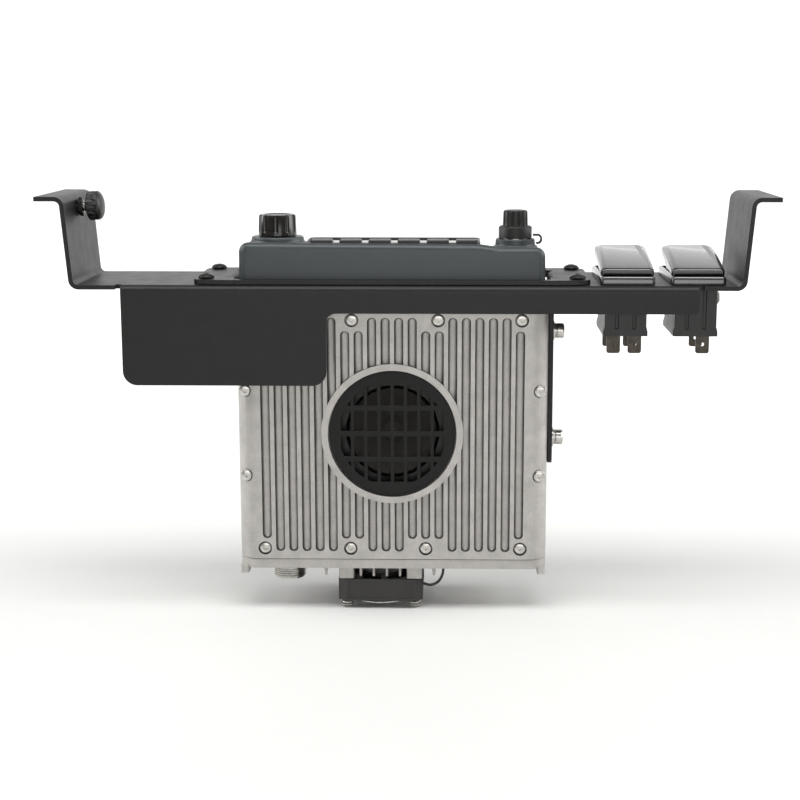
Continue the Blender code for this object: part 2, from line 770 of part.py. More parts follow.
def make_microphone_socket(parent):
    """A round socket under a pull-off rubber cap that a strap keeps on the panel."""
    at = (MIC_X, BODY_MIDDLE, 0)
    socket = [
        (0.0, -0.0016),
        (0.0065, -0.0016),
        (0.0065, 0.0234),
        (0.0054, 0.0234),
        (0.0054, 0.015),
        (0.0, 0.015),
    ]
    piece("mic_socket", turned(socket, 16), "black_plastic", parent, at)
    cap = [
        (0.0, 0.0238),
        (0.0068, 0.0238),
        (0.0068, 0.0192),
        (0.0077, 0.0192),
        (0.0077, 0.0243),
        (0.0072, 0.0249),
        (0.0059, 0.0249),
        (0.0056, 0.0316),
        (0.0051, 0.032),
        (0.0, 0.032),
    ]
    piece("mic_cap", turned(cap, 20), "black_rubber", parent, at)
    strap = [(0.0082, 0.0206), (0.0121, 0.0206), (0.0121, 0.0168), (0.0097, 0.0168)]
    tether = prism(bent_strip(strap, 0.0009, 0.0016, 3), -0.0012, 0.0012, "Y")
    piece("cap_tether", tether, "black_rubber", parent, at)


def make_antenna_socket(parent):
    at = (ANTENNA_X, BODY_MIDDLE, 0)
    shell = [
        (0.0, -0.118),
        (0.0062, -0.118),
        (0.0079, -0.12),
        (0.0079, -0.145),
        (0.0062, -0.145),
        (0.0062, -0.134),
        (0.0, -0.134),
    ]
    socket = piece("antenna_socket", turned(shell, 20), "bright_steel", parent, at)
    join(socket, prism(circle(0.0102, 20), BODY_BOTTOM - GAP - 0.0014, BODY_BOTTOM - GAP))
    cut(socket, prism(circle(0.0062, 20), -0.15, -0.1341))
    contact = [
        (0.0, -0.1345),
        (0.0059, -0.1345),
        (0.0059, -0.138),
        (0.0023, -0.138),
        (0.0023, -0.1425),
        (0.0014, -0.1425),
        (0.0014, -0.138),
        (0.0, -0.138),
    ]
    piece("antenna_contact", turned(contact, 12), "brass", parent, at)


# Fan.


def make_fan(parent):
    """A 40 mm axial fan on the rear wall: frame, rotor, wire guard, screws and lead."""
    at = (FAN_X, BODY_MIDDLE, 0)
    half = FAN_SIZE / 2
    frame = piece(
        "fan_frame",
        prism(rectangle(-half, -half, half, half, 0.003), FAN_BOTTOM, FAN_TOP),
        "black_plastic",
        parent,
        at,
    )
    corners = [(x, y) for x in (-FAN_HOLE, FAN_HOLE) for y in (-FAN_HOLE, FAN_HOLE)]
    bore = prism(circle(0.0188, 24), FAN_BOTTOM - 0.001, FAN_TOP + 0.001)
    cut(frame, bore, *[prism(circle(0.0021, 8, c), FAN_BOTTOM - 0.001, FAN_TOP + 0.001) for c in corners])
    struts = [
        moved(
            box((0.006, 0.0192), (-0.0012, 0.0012), (FAN_TOP - 0.0016, FAN_TOP - 0.0002)),
            turn=math.tau * (i + 0.3) / 3,
        )
        for i in range(3)
    ]
    join(frame, *struts)
    join(frame, prism(circle(0.0098, 16), FAN_TOP - 0.0018, FAN_TOP))
    rotor = piece(
        "fan_rotor", prism(circle(0.0092, 16), FAN_BOTTOM + 0.0004, FAN_TOP - 0.0022), "black_plastic", parent, at
    )
    blades = []
    blade_middle = (FAN_TOP + FAN_BOTTOM) / 2 - 0.0006
    for i in range(7):
        blade = box((0.0085, 0.0181), (-0.0046, 0.0046), (-0.0005, 0.0005))
        moved(blade, turn=math.radians(38), axis="X")
        blades.append(moved(moved(blade, (0, 0, blade_middle)), turn=math.tau * i / 7))
    join(rotor, *blades)
    guard_z = FAN_BOTTOM - 0.0011
    wire = 0.00065
    rings = []
    for radius in (0.007, 0.0125, 0.018):
        section = [(radius + u, guard_z + v) for u, v in circle(wire, 4)]
        rings.append(turned(section, 20, closed=True))
    guard = piece("fan_guard", rings[0], "bright_steel", parent, at)
    spokes, eyelets = [], []
    for x, y in corners:
        spoke = turned([(0.0, 0.0061), (wire, 0.0061), (wire, 0.0208), (0.0, 0.0208)], 5, "X")
        spokes.append(moved(spoke, (0, 0, guard_z - 0.0002), math.atan2(y, x)))
        eyelet = [(0.0023 + u, guard_z + v) for u, v in circle(wire, 4)]
        eyelets.append(turned(eyelet, 10, "Z", (x, y), closed=True))
    join(guard, *spokes)
    join(guard, *rings[1:])
    join(guard, *eyelets)
    profile = [
        (0.0, -0.0012),
        (0.0022, -0.001),
        (0.003, -0.0003),
        (0.003, 0),
        (0.0014, 0),
        (0.0014, 0.016),
        (0.0, 0.016),
    ]
    for number, (x, y) in enumerate(corners, 1):
        place = (FAN_X + x, BODY_MIDDLE + y, guard_z - wire - GAP)
        piece(f"fan_screw_{number}", turned(profile, 8), "bright_steel", parent, place)


def smooth_route(route, spacing):
    """Points along a smooth curve through hand-placed ones."""
    points = [Vector(p) for p in route]
    padded = [2 * points[0] - points[1], *points, 2 * points[-1] - points[-2]]
    found = []
    for a, b, c, d in zip(padded, padded[1:], padded[2:], padded[3:]):
        count = max(2, round((c - b).length / spacing))
        for i in range(count):
            t = i / count
            found.append(
                0.5 * (2 * b + (c - a) * t + (2 * a - 5 * b + 4 * c - d) * t**2 + (3 * b - a - 3 * c + d) * t**3)
            )
    return [*found, points[-1]]


def make_fan_lead(parent):
    """The fan's lead, from the side of its frame up to the rear wall."""
    side = FAN_X + FAN_SIZE / 2 + GAP
    route = [
        (side, 0.0128, -0.1436),
        (side + 0.0035, 0.0122, -0.1442),
        (side + 0.0072, 0.0124, -0.1425),
        (side + 0.0092, 0.0133, -0.1388),
        (side + 0.0094, 0.014, BODY_BOTTOM - GAP),
    ]
    curve = bpy.data.curves.new("fan_lead", "CURVE")
    curve.dimensions = "3D"
    curve.bevel_depth = 0.00065
    curve.bevel_resolution = 2
    curve.use_fill_caps = True
    points = smooth_route(route, 0.002)
    spline = curve.splines.new("POLY")
    spline.points.add(len(points) - 1)
    for point, place in zip(spline.points, points):
        point.co = (*place, 1)
    lead = bpy.data.objects.new("fan_lead", curve)
    lead.parent = parent
    curve.materials.append(finish_material("black_rubber"))
    bpy.context.scene.collection.objects.link(lead)


# Rocker switches.


def rocker_meshes():
    """The cap of a rocker, and the narrower skirt under it that dips into the switch's frame.

    Both are (y, z) sections from the pivot, extruded across and tilted to the pressed end.
    """
    half = 0.0214
    cap = [
        (-half, 0.0054),
        (half, 0.0054),
        (half, 0.008),
        (half - 0.0012, 0.0092),
        (0.009, 0.0084),
        (0, 0.0082),
        (-0.009, 0.0084),
        (-half + 0.0012, 0.0092),
        (-half, 0.008),
    ]
    skirt = [(-half, 0.0021), (0, -0.0017), (half, 0.0021), (half - 0.0002, 0.0064), (-half + 0.0002, 0.0064)]
    cap_mesh = prism(cap, -0.0118, 0.0118, "X")
    skirt_mesh = prism(skirt, -0.0105, 0.0105, "X")
    return [moved(mesh, turn=ROCKER_TILT, axis="X") for mesh in (cap_mesh, skirt_mesh)]


def blade_mesh(x, y):
    """A flat push-on terminal with chamfered corners."""
    half, foot = 0.00315, -0.0334
    outline = [
        (x - half, BASE_BOTTOM + 0.001),
        (x - half, foot + 0.0012),
        (x - half + 0.0012, foot),
        (x + half - 0.0012, foot),
        (x + half, foot + 0.0012),
        (x + half, BASE_BOTTOM + 0.001),
    ]
    return prism(outline, y - 0.0004, y + 0.0004, "Y")


def make_switch(number, x, columns, parent):
    """A rocker switch whose frame rests on the plate, with blade terminals below it."""
    middle = BRACKET_DEPTH / 2
    at = (x, middle, 0)
    half_width, half_length = BASE_WIDTH / 2, BASE_LENGTH / 2
    wide, narrow = half_width, half_width - 0.0006
    outline = [
        (-narrow, 0.0001),
        (-narrow, -0.02),
        (-wide, -0.0222),
        (-wide, BASE_BOTTOM),
        (wide, BASE_BOTTOM),
        (wide, -0.0222),
        (narrow, -0.02),
        (narrow, 0.0001),
    ]
    base = piece(
        f"switch_base_{number}", prism(outline, -half_length, half_length, "Y"), "black_plastic", parent, at
    )
    join(base, *[blade_mesh(column, y) for column in columns for y in (-0.0105, 0.0105)])
    rim = rectangle(
        -SWITCH_WIDTH / 2, -SWITCH_LENGTH / 2, SWITCH_WIDTH / 2, SWITCH_LENGTH / 2, 0.0012, 2
    )
    rim_top = rectangle(
        -SWITCH_WIDTH / 2 + 0.0008,
        -SWITCH_LENGTH / 2 + 0.0008,
        SWITCH_WIDTH / 2 - 0.0008,
        SWITCH_LENGTH / 2 - 0.0008,
        0.0012,
        2,
    )
    rings = ((rim, GAP), (rim, 0.0028), (rim_top, GAP + SWITCH_FRAME_HEIGHT))
    frame = piece(
        f"switch_bezel_{number}",
        solid([[(u, v, w) for u, v in ring] for ring, w in rings]),
        "gloss_black_plastic",
        parent,
        at,
    )
    cut(frame, box((-0.0108, 0.0108), (-0.0227, 0.0227), (-0.001, 0.006)))
    cap, skirt = rocker_meshes()
    rocker = piece(f"rocker_{number}", cap, "gloss_black_plastic", parent, (x, middle, ROCKER_PIVOT))
    join(rocker, skirt)


def main():
    for obj in list(bpy.data.objects):
        bpy.data.objects.remove(obj)
    plate = guide("plate_frame", (0, -BRACKET_DEPTH / 2, -FLANGE_UNDERSIDE))
    radio = guide("radio_frame", (RADIO_X, 0, 0), plate)
    make_bracket(plate)
    make_insert(radio)
    make_insert_screws(plate)
    make_side_bolts(radio)
    make_thumb_screw(thumb_frame(plate))
    make_chassis(radio)
    make_cover(radio)
    make_cover_screws(radio)
    make_speaker(radio)
    make_boards(radio)
    make_bezel(radio)
    make_keys(radio)
    make_volume(radio)
    make_microphone_socket(radio)
    make_antenna_socket(radio)
    make_fan(radio)
    make_fan_lead(radio)
    make_switch(1, SWITCHES[0], (-0.0047, 0.0051), plate)
    make_switch(2, SWITCHES[1], (0.0045,), plate)


main()
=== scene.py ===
"""Looks for a mobile transceiver that hangs face up in a sheet-metal bracket.

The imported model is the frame. Each operator below makes one piece, or one group of like pieces, around it.
"""

import math

import bmesh
import bpy
from mathutils import Matrix, Vector


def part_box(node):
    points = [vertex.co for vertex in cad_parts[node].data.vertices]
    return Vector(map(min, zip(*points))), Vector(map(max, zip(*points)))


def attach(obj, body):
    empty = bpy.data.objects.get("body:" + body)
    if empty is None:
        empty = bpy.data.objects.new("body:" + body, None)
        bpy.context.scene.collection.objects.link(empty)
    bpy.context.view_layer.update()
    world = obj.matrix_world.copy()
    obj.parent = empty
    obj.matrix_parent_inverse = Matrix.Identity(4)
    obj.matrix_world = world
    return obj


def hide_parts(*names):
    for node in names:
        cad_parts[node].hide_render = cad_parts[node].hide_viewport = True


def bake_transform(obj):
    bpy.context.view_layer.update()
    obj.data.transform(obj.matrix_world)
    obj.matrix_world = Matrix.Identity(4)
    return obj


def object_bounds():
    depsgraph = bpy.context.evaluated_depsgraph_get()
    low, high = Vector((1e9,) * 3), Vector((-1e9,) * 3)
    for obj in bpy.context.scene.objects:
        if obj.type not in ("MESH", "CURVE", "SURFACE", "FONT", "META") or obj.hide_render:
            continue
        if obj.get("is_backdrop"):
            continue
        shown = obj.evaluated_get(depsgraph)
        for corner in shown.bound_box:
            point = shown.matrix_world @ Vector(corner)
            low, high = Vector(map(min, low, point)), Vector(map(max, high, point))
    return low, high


bl_info = {
    "name": "Mobile Transceiver",
    "version": (1, 0, 0),
    "blender": (4, 5, 0),
    "location": "View3D > Sidebar > Transceiver",
    "description": "Builds the visible pieces of a bracket-mounted mobile transceiver",
    "category": "Object",
}

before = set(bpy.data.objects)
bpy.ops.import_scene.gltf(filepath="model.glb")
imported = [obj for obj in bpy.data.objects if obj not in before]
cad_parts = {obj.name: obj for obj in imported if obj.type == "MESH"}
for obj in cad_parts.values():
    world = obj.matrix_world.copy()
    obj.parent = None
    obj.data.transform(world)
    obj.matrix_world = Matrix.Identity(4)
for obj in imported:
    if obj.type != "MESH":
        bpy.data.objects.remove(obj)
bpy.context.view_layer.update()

# Places read from the frame. Pieces are drawn from the plate: X across, Y back from its front edge, Z up
# from its top face. The radio's own pieces measure X from the radio's middle.
GAP = 0.0003
PLATE_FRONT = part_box("mounting_bracket")[0].y
PLATE_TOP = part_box("switch_bezel_1")[0].z - GAP
PLATE = Vector((0, PLATE_FRONT, PLATE_TOP))
BODY_LOW, BODY_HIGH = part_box("chassis")
RADIO = Vector(((BODY_LOW.x + BODY_HIGH.x) / 2, PLATE_FRONT, PLATE_TOP))


def near(node, origin=RADIO):
    """A CAD node's (lowest, highest) corner, measured from the plate's or the radio's own place."""
    low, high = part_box(node)
    return low - origin, high - origin


def middle_of(node, origin=RADIO):
    low, high = near(node, origin)
    return (low + high) / 2


# The radio's rear wall, which its fan and antenna socket stand on.
REAR_WALL = -0.1346

# How far the cover's grooves and screws reach to each side of its middle.
GROOVES_REACH = 0.0665


# Colour and nodes.


def linear(colour):
    """A linear (r, g, b, 1) from an sRGB hex string."""
    channels = [int(colour[i : i + 2], 16) / 255 for i in (1, 3, 5)]
    return (*[c / 12.92 if c <= 0.04045 else ((c + 0.055) / 1.055) ** 2.4 for c in channels], 1.0)


def as_linear(shade):
    """A hex string's linear colour, or a colour that already is."""
    return linear(shade) if isinstance(shade, str) else shade


def per_millimetre(size):
    """Texture scale whose features are about this many millimetres wide."""
    return 1000.0 / size


def add(tree, kind, settings=None, links=None):
    """Adds a node, gives its inputs and properties their values, and links other sockets to its inputs."""
    made = tree.nodes.new(kind)
    for name, value in (settings or {}).items():
        if isinstance(name, int) or name in made.inputs:
            made.inputs[name].default_value = value
        else:
            setattr(made, name, value)
    for name, socket in (links or {}).items():
        tree.links.new(socket, made.inputs[name])
    return made


def blank_material(name):
    material = bpy.data.materials.new(name)
    material.use_nodes = True
    tree = material.node_tree
    tree.nodes.clear()
    return material, tree


def textured(
    name,
    dark,
    light,
    rough,
    metal=0.0,
    grain=0.5,
    depth=0.05,
    patch=12.0,
    rough_spread=0.06,
    stretch=(1, 1, 1),
    coat=0.0,
    specular=0.5,
    walls=None,
):
    """A finish whose colour drifts between two hex values in patches, over a fine bumped grain, in mm.

    The last argument, when given, is the colour of painted shade: it darkens what turns away from the front, inside the
    cover's edges, on the walls of its grooves.
    """
    material, tree = blank_material(name)
    place = add(tree, "ShaderNodeTexCoord")
    drawn = add(tree, "ShaderNodeMapping", {"Scale": stretch}, {"Vector": place.outputs["Object"]})
    patches = add(
        tree,
        "ShaderNodeTexNoise",
        {"Scale": per_millimetre(patch), "Detail": 3.0, "Roughness": 0.55},
        {"Vector": drawn.outputs["Vector"]},
    )
    grains = add(
        tree,
        "ShaderNodeTexNoise",
        {"Scale": per_millimetre(grain), "Detail": 2.0, "Roughness": 0.6},
        {"Vector": drawn.outputs["Vector"]},
    )
    both = add(
        tree,
        "ShaderNodeMix",
        {"data_type": "FLOAT", "Factor": 0.35},
        {2: patches.outputs["Fac"], 3: grains.outputs["Fac"]},
    )
    ramp = add(tree, "ShaderNodeValToRGB", {}, {"Fac": both.outputs[0]})
    ramp.color_ramp.elements[0].position = 0.3
    ramp.color_ramp.elements[0].color = as_linear(dark)
    ramp.color_ramp.elements[1].position = 0.7
    ramp.color_ramp.elements[1].color = as_linear(light)
    roughness = add(
        tree,
        "ShaderNodeMapRange",
        {"From Min": 0.3, "From Max": 0.7, "To Min": rough - rough_spread, "To Max": rough + rough_spread},
        {"Value": both.outputs[0]},
    )
    bump = add(
        tree,
        "ShaderNodeBump",
        {"Strength": 0.5, "Distance": depth / 1000},
        {"Height": grains.outputs["Fac"]},
    )
    shade = ramp.outputs["Color"]
    # Painted shade on the walls of the cover's grooves.
    if walls:
        shade = painted_wall_shade(tree, place, shade, walls)
    shader = add(
        tree,
        "ShaderNodeBsdfPrincipled",
        {"Metallic": metal, "Specular IOR Level": specular, "Coat Weight": coat, "Coat Roughness": 0.08},
        {
            "Base Color": shade,
            "Roughness": roughness.outputs["Result"],
            "Normal": bump.outputs["Normal"],
        },
    )
    add(tree, "ShaderNodeOutputMaterial", {}, {"Surface": shader.outputs["BSDF"]})
    return material


def painted_wall_shade(tree, place, shade, colour):
    """Painted shade: the colour, turned darker where the skin turns away from the front, inside the cover's edges."""
    surface = add(tree, "ShaderNodeNewGeometry")
    normal = add(tree, "ShaderNodeSeparateXYZ", {}, {"Vector": surface.outputs["Normal"]})
    across = add(tree, "ShaderNodeSeparateXYZ", {}, {"Vector": place.outputs["Object"]})
    facing = add(tree, "ShaderNodeMath", {"operation": "ABSOLUTE"}, {0: normal.outputs["Y"]})
    turning = {"From Min": 0.92, "From Max": 0.35, "To Min": 0.0, "To Max": 1.0}
    steep = add(tree, "ShaderNodeMapRange", turning, {"Value": facing.outputs[0]})
    aside = add(tree, "ShaderNodeMath", {"operation": "ABSOLUTE"}, {0: across.outputs["X"]})
    inside = add(tree, "ShaderNodeMath", {"operation": "LESS_THAN", 1: GROOVES_REACH}, {0: aside.outputs[0]})
    both = {0: steep.outputs["Result"], 1: inside.outputs[0]}
    painted_shade_mask = add(tree, "ShaderNodeMath", {"operation": "MULTIPLY"}, both)
    mixing = {"data_type": "RGBA", "blend_type": "MIX"}
    mixed = add(tree, "ShaderNodeMix", mixing, {0: painted_shade_mask.outputs[0], 6: shade})
    mixed.inputs[7].default_value = linear(colour)
    return mixed.outputs[2]


FINISHES = {}


def make_finishes():
    """Every finish on the object, named for the real one."""
    looks = bpy.context.scene.transceiver_looks
    coat = (looks.coat_dark, looks.coat_light)
    casting = (looks.casting_dark, looks.casting_light)
    panel = (looks.panel_dark, looks.panel_light)
    FINISHES.update(
        # Powder-coated steel: baked polyester with a fine orange peel, which blurs the light into grey sheens.
        powder_coat=textured("powder_coated_steel", *coat, 0.42, grain=0.9, depth=0.06, patch=9.0, specular=0.3),
        # Die-cast aluminium, tumbled: a matt silver skin with a sandy grain and faint flow patches.
        casting=textured(
            "die_cast_aluminium", *casting, 0.5, metal=0.55, grain=0.8, depth=0.09, patch=7.0, rough_spread=0.08
        ),
        # The same casting with its ridges brushed bright, and painted shade on the walls of its grooves, darker where
        # they turn away from the front.
        cover_casting=textured(
            "brushed_die_casting_painted_groove_shade",
            *casting,
            0.42,
            metal=0.6,
            grain=0.8,
            depth=0.07,
            patch=7.0,
            rough_spread=0.08,
            # The colour of the painted shade on the groove walls.
            walls="#4a4744",
        ),
        # Moulded ABS from a spark-eroded tool: matt with an even, very fine pebble.
        panel=textured("moulded_blue_grey_abs", *panel, 0.42, grain=0.7, depth=0.04, patch=15.0),
        # Moulded black ABS: the same pebble, in near black.
        black_moulding=textured("moulded_black_abs", "#121211", "#1a1918", 0.4, grain=0.6, depth=0.04),
        # Knob ABS: polished flutes that show bright and dark stripes.
        knob=textured("satin_black_abs", "#12100f", "#1a1816", 0.22, grain=1.2, depth=0.015),
        # Glass-filled PBT: a greyer black whose fibres leave a dull bloom.
        fan_moulding=textured("glass_filled_pbt", "#1f1e1c", "#2c2a28", 0.45, grain=0.7, stretch=(1, 1, 0.5)),
        # Polished nylon, as on rocker caps: black and mirror-like, with a faint ripple from the mould.
        rocker=textured(
            "polished_black_nylon",
            "#0c0c0d",
            "#121213",
            0.2,
            grain=6.0,
            depth=0.02,
            rough_spread=0.03,
            coat=0.6,
            specular=0.8,
        ),
        # EPDM rubber: dull and slightly dusty.
        rubber=textured("moulded_epdm_rubber", "#151413", "#1e1d1c", 0.45, specular=0.35),
        # Nickel plate over turned brass or steel: bright, and only slightly blurred.
        nickel=textured("nickel_plated_steel", "#b9b8b4", "#dad9d5", 0.24, metal=1.0, depth=0.02, patch=4.0),
        # Clear zinc plate on the screws: a little duller and warmer than nickel.
        zinc=textured("zinc_plated_steel", "#a9a6a0", "#d6d4cf", 0.3, metal=1.0, grain=0.4, depth=0.02, patch=2.5),
        # Black oxide on socket screws: dark metal that still glints at its edges.
        black_oxide=textured("black_oxide_steel", "#1e1e1d", "#31302f", 0.33, metal=0.7, depth=0.02, patch=3.0),
        # Painted pressed steel of the loudspeaker grille: matt, so its slots stay hard to see.
        grille=textured(
            "painted_pressed_steel", "#0d0d0c", "#131312", 0.5, specular=0.25, grain=0.6, depth=0.04, patch=6.0
        ),
        # Tinned brass blades: grey, soft reflections, slightly stained.
        tinned=textured("tinned_brass", "#3c3833", "#57524b", 0.34, metal=1.0, grain=0.8, depth=0.02, patch=2.0),
        # Lacquered brass of the contacts: warm and bright.
        brass=textured("lacquered_brass", "#b48a45", "#d3ab63", 0.28, metal=1.0, grain=0.6, depth=0.02, patch=3.0),
        # Solder resist over copper: green gloss, lighter where the copper runs.
        board=textured("solder_resist_on_fr4", "#0b3a1c", "#17552c", 0.3, grain=1.6, depth=0.03, patch=3.0, coat=0.3),
        # Pressed paper pulp: a dull, fibrous brown black.
        paper=textured("pressed_paper_cone", "#26231f", "#35312c", 0.85, depth=0.12),
        # PVC jacket of a thin lead: smooth, with a soft shine.
        lead=textured("pvc_lead_jacket", "#1b1a19", "#262524", 0.38, grain=0.8, depth=0.02),
        # Smoked acrylic: a dark, glossy window that mirrors what is above it.
        window=textured(
            "smoked_acrylic", "#101316", "#161a1e", 0.07, grain=20.0, depth=0.005, rough_spread=0.02, coat=0.5
        ),
        # Painted board of the studio floor: matt and even. Its grain is far coarser than real, to stay smooth.
        white_floor=textured("painted_studio_floor", "#cfcfcd", "#d2d2d0", 0.8, grain=30.0, depth=0.01, patch=400.0),
    )
    light_up_backdrop(FINISHES["white_floor"], looks.backdrop)


def light_up_backdrop(material, strength):
    """Make a floor finish glow behind the object, where the floor turns up into the backdrop."""
    tree = material.node_tree
    shader = next(node for node in tree.nodes if node.type == "BSDF_PRINCIPLED")
    place = add(tree, "ShaderNodeTexCoord")
    along = add(tree, "ShaderNodeSeparateXYZ", {}, {"Vector": place.outputs["Object"]})
    ramp = {"From Min": 0.1, "From Max": 1.0, "To Min": 0.0, "To Max": strength}
    glow = add(tree, "ShaderNodeMapRange", ramp, {"Value": along.outputs["Y"]})
    shader.inputs["Emission Color"].default_value = linear("#ffffff")
    tree.links.new(glow.outputs["Result"], shader.inputs["Emission Strength"])


# Outlines, as (u, v) points.


def rounded(corners, steps=6):
    """An outline through (u, v, radius) corners, each rounded to its radius."""
    points = []
    for i, (u, v, radius) in enumerate(corners):
        here = Vector((u, v))
        if radius == 0:
            points.append((u, v))
            continue
        points += arc_at(corners[i - 1][:2], here, corners[(i + 1) % len(corners)][:2], radius, steps)
    return [p for i, p in enumerate(points) if (Vector(p) - Vector(points[i - 1])).length > 1e-6]


def arc_at(before, here, after, radius, steps):
    """Points of the arc that rounds the corner here, between its neighbours."""
    back = (Vector(before) - here).normalized()
    ahead = (Vector(after) - here).normalized()
    half = back.angle(ahead) / 2
    centre = here + (back + ahead).normalized() * radius / math.sin(half)
    start = here + back * radius / math.tan(half) - centre
    end = here + ahead * radius / math.tan(half) - centre
    first = math.atan2(start.y, start.x)
    sweep = (math.atan2(end.y, end.x) - first + math.pi) % math.tau - math.pi
    turns = [first + sweep * step / steps for step in range(steps + 1)]
    return [(centre.x + radius * math.cos(t), centre.y + radius * math.sin(t)) for t in turns]


def rectangle(left, low, right, high, radius=0.0, steps=6):
    corners = ((left, low), (right, low), (right, high), (left, high))
    return rounded([(u, v, radius) for u, v in corners], steps)


def about(u, v, half_u, half_v, radius=0.0, steps=6):
    """A rectangle about a middle."""
    return rectangle(u - half_u, v - half_v, u + half_u, v + half_v, radius, steps)


def circle(radius, sides=32, centre=(0.0, 0.0), start=0.5):
    turns = [math.tau * (i + start) / sides for i in range(sides)]
    return [(centre[0] + radius * math.cos(t), centre[1] + radius * math.sin(t)) for t in turns]


def strip(path, thickness, radius, steps=8):
    """The outline of sheet that follows a path of (u, v) corners, with round bends."""
    line = [Vector(path[0])]
    for i in range(1, len(path) - 1):
        bend = arc_at(path[i - 1], Vector(path[i]), path[i + 1], radius, steps)
        line += [Vector(p) for p in bend]
    line.append(Vector(path[-1]))
    left, right = [], []
    for i, point in enumerate(line):
        along = (line[min(i + 1, len(line) - 1)] - line[max(i - 1, 0)]).normalized()
        side = Vector((-along.y, along.x)) * thickness / 2
        left.append(tuple(point + side))
        right.append(tuple(point - side))
    return left + right[::-1]


# Closed meshes.


def skin(rings, closed=False):
    """A closed mesh through rings of points: capped at both ends, or joined end to end."""
    bm = bmesh.new()
    rows = [[bm.verts.new(point) for point in ring] for ring in rings]
    for low, high in zip(rows, rows[1:] + (rows[:1] if closed else [])):
        for i in range(len(low)):
            bm.faces.new((low[i - 1], low[i], high[i], high[i - 1]))
    if not closed:
        bm.faces.new(rows[0])
        bm.faces.new(rows[-1])
    bmesh.ops.remove_doubles(bm, verts=bm.verts, dist=1e-7)
    bmesh.ops.recalc_face_normals(bm, faces=bm.faces)
    mesh = bpy.data.meshes.new("skin")
    bm.to_mesh(mesh)
    bm.free()
    return mesh


def on_axis(axis, u, v, w):
    return {"X": (w, u, v), "Y": (u, w, v), "Z": (u, v, w)}[axis]


def prism(outline, low, high, axis="Z"):
    """An outline extruded along an axis: (x, y) along Z, (x, z) along Y or (y, z) along X."""
    return skin([[on_axis(axis, u, v, w) for u, v in outline] for w in (low, high)])


def stacked(levels, axis="Z"):
    """A solid through (outline, place) levels whose outlines have the same number of points."""
    return skin([[on_axis(axis, u, v, w) for u, v in outline] for outline, w in levels])


def block(x, y, z):
    return prism(rectangle(x[0], y[0], x[1], y[1]), *z)


def rod(radius, sides, centre, low, high, axis="Z"):
    return prism(circle(radius, sides, centre), low, high, axis)


def turned(profile, sides=32, axis="Z", centre=(0.0, 0.0), closed=False):
    """A profile of (radius, place) turned about the axis."""
    return skin([[on_axis(axis, u, v, w) for u, v in circle(r, sides, centre)] for r, w in profile], closed)


def moved(mesh, offset=(0, 0, 0), turn=0.0, axis="Z"):
    mesh.transform(Matrix.Translation(offset) @ Matrix.Rotation(turn, 4, axis))
    return mesh


def gathered(meshes):
    """One mesh that holds all of these."""
    bm = bmesh.new()
    for mesh in meshes:
        bm.from_mesh(mesh)
    whole = bpy.data.meshes.new("gathered")
    bm.to_mesh(whole)
    bm.free()
    return whole


def combined(operation, base, tools):
    """The base with the tools cut from it, joined to it or kept in common with it."""
    body = bpy.data.objects.new("body", base)
    tool = bpy.data.objects.new("tool", gathered(tools))
    for obj in (body, tool):
        bpy.context.scene.collection.objects.link(obj)
    modifier = body.modifiers.new("combine", "BOOLEAN")
    modifier.operation = operation
    modifier.object = tool
    modifier.use_self = len(tools) > 1
    graph = bpy.context.evaluated_depsgraph_get()
    result = bpy.data.meshes.new_from_object(body.evaluated_get(graph))
    for obj in (body, tool):
        bpy.data.objects.remove(obj)
    return result


def cut(base, *tools):
    return combined("DIFFERENCE", base, tools)


def joined(base, *tools):
    return combined("UNION", base, tools)


def common(base, *tools):
    return combined("INTERSECT", base, tools)


def tube(points, radius, sides=10):
    """A capped tube through points, as a mesh."""
    points = [Vector(p) for p in points]
    rings = []
    side = Vector((0, 1, 0))
    for i, point in enumerate(points):
        along = (points[min(i + 1, len(points) - 1)] - points[max(i - 1, 0)]).normalized()
        side = (side - along * side.dot(along)).normalized()
        across = along.cross(side)
        turns = [math.tau * k / sides for k in range(sides)]
        rings.append([point + (side * math.cos(t) + across * math.sin(t)) * radius for t in turns])
    return skin(rings)


def smooth_route(route, spacing):
    """Points along a smooth curve through given ones."""
    points = [Vector(p) for p in route]
    padded = [2 * points[0] - points[1], *points, 2 * points[-1] - points[-2]]
    found = []
    for a, b, c, d in zip(padded, padded[1:], padded[2:], padded[3:]):
        count = max(2, round((c - b).length / spacing))
        for i in range(count):
            t = i / count
            square, cube = 2 * a - 5 * b + 4 * c - d, 3 * b - a - 3 * c + d
            found.append(0.5 * (2 * b + (c - a) * t + square * t**2 + cube * t**3))
    return [*found, points[-1]]


def show(name, mesh, finish, body="root", nodes=(), origin=RADIO, soften=0.0, steps=2, turn=0.0):
    """A visible piece on a body. It softens its edges, and stands for the CAD nodes given."""
    mesh.name = name
    mesh.materials.clear()
    mesh.materials.append(FINISHES[finish])
    mesh.shade_smooth()
    obj = bpy.data.objects.new(name, mesh)
    obj.location = origin
    obj.rotation_euler.y = turn
    bpy.context.scene.collection.objects.link(obj)
    if soften:
        edges = obj.modifiers.new("soft_edges", "BEVEL")
        edges.width = soften
        edges.segments = steps
        edges.limit_method = "ANGLE"
        edges.angle_limit = math.radians(32)
        edges.harden_normals = True
        edges.miter_outer = "MITER_ARC"
    else:
        mesh.set_sharp_from_angle(angle=math.radians(35))
    if body:
        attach(obj, body)
    if nodes:
        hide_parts(*nodes)
    return obj


def carry(node, finish):
    """Gives a CAD node that keeps its shape its finish."""
    for material_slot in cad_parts[node].material_slots:
        material_slot.material = FINISHES[finish]


# Bracket, insert plate and fasteners.


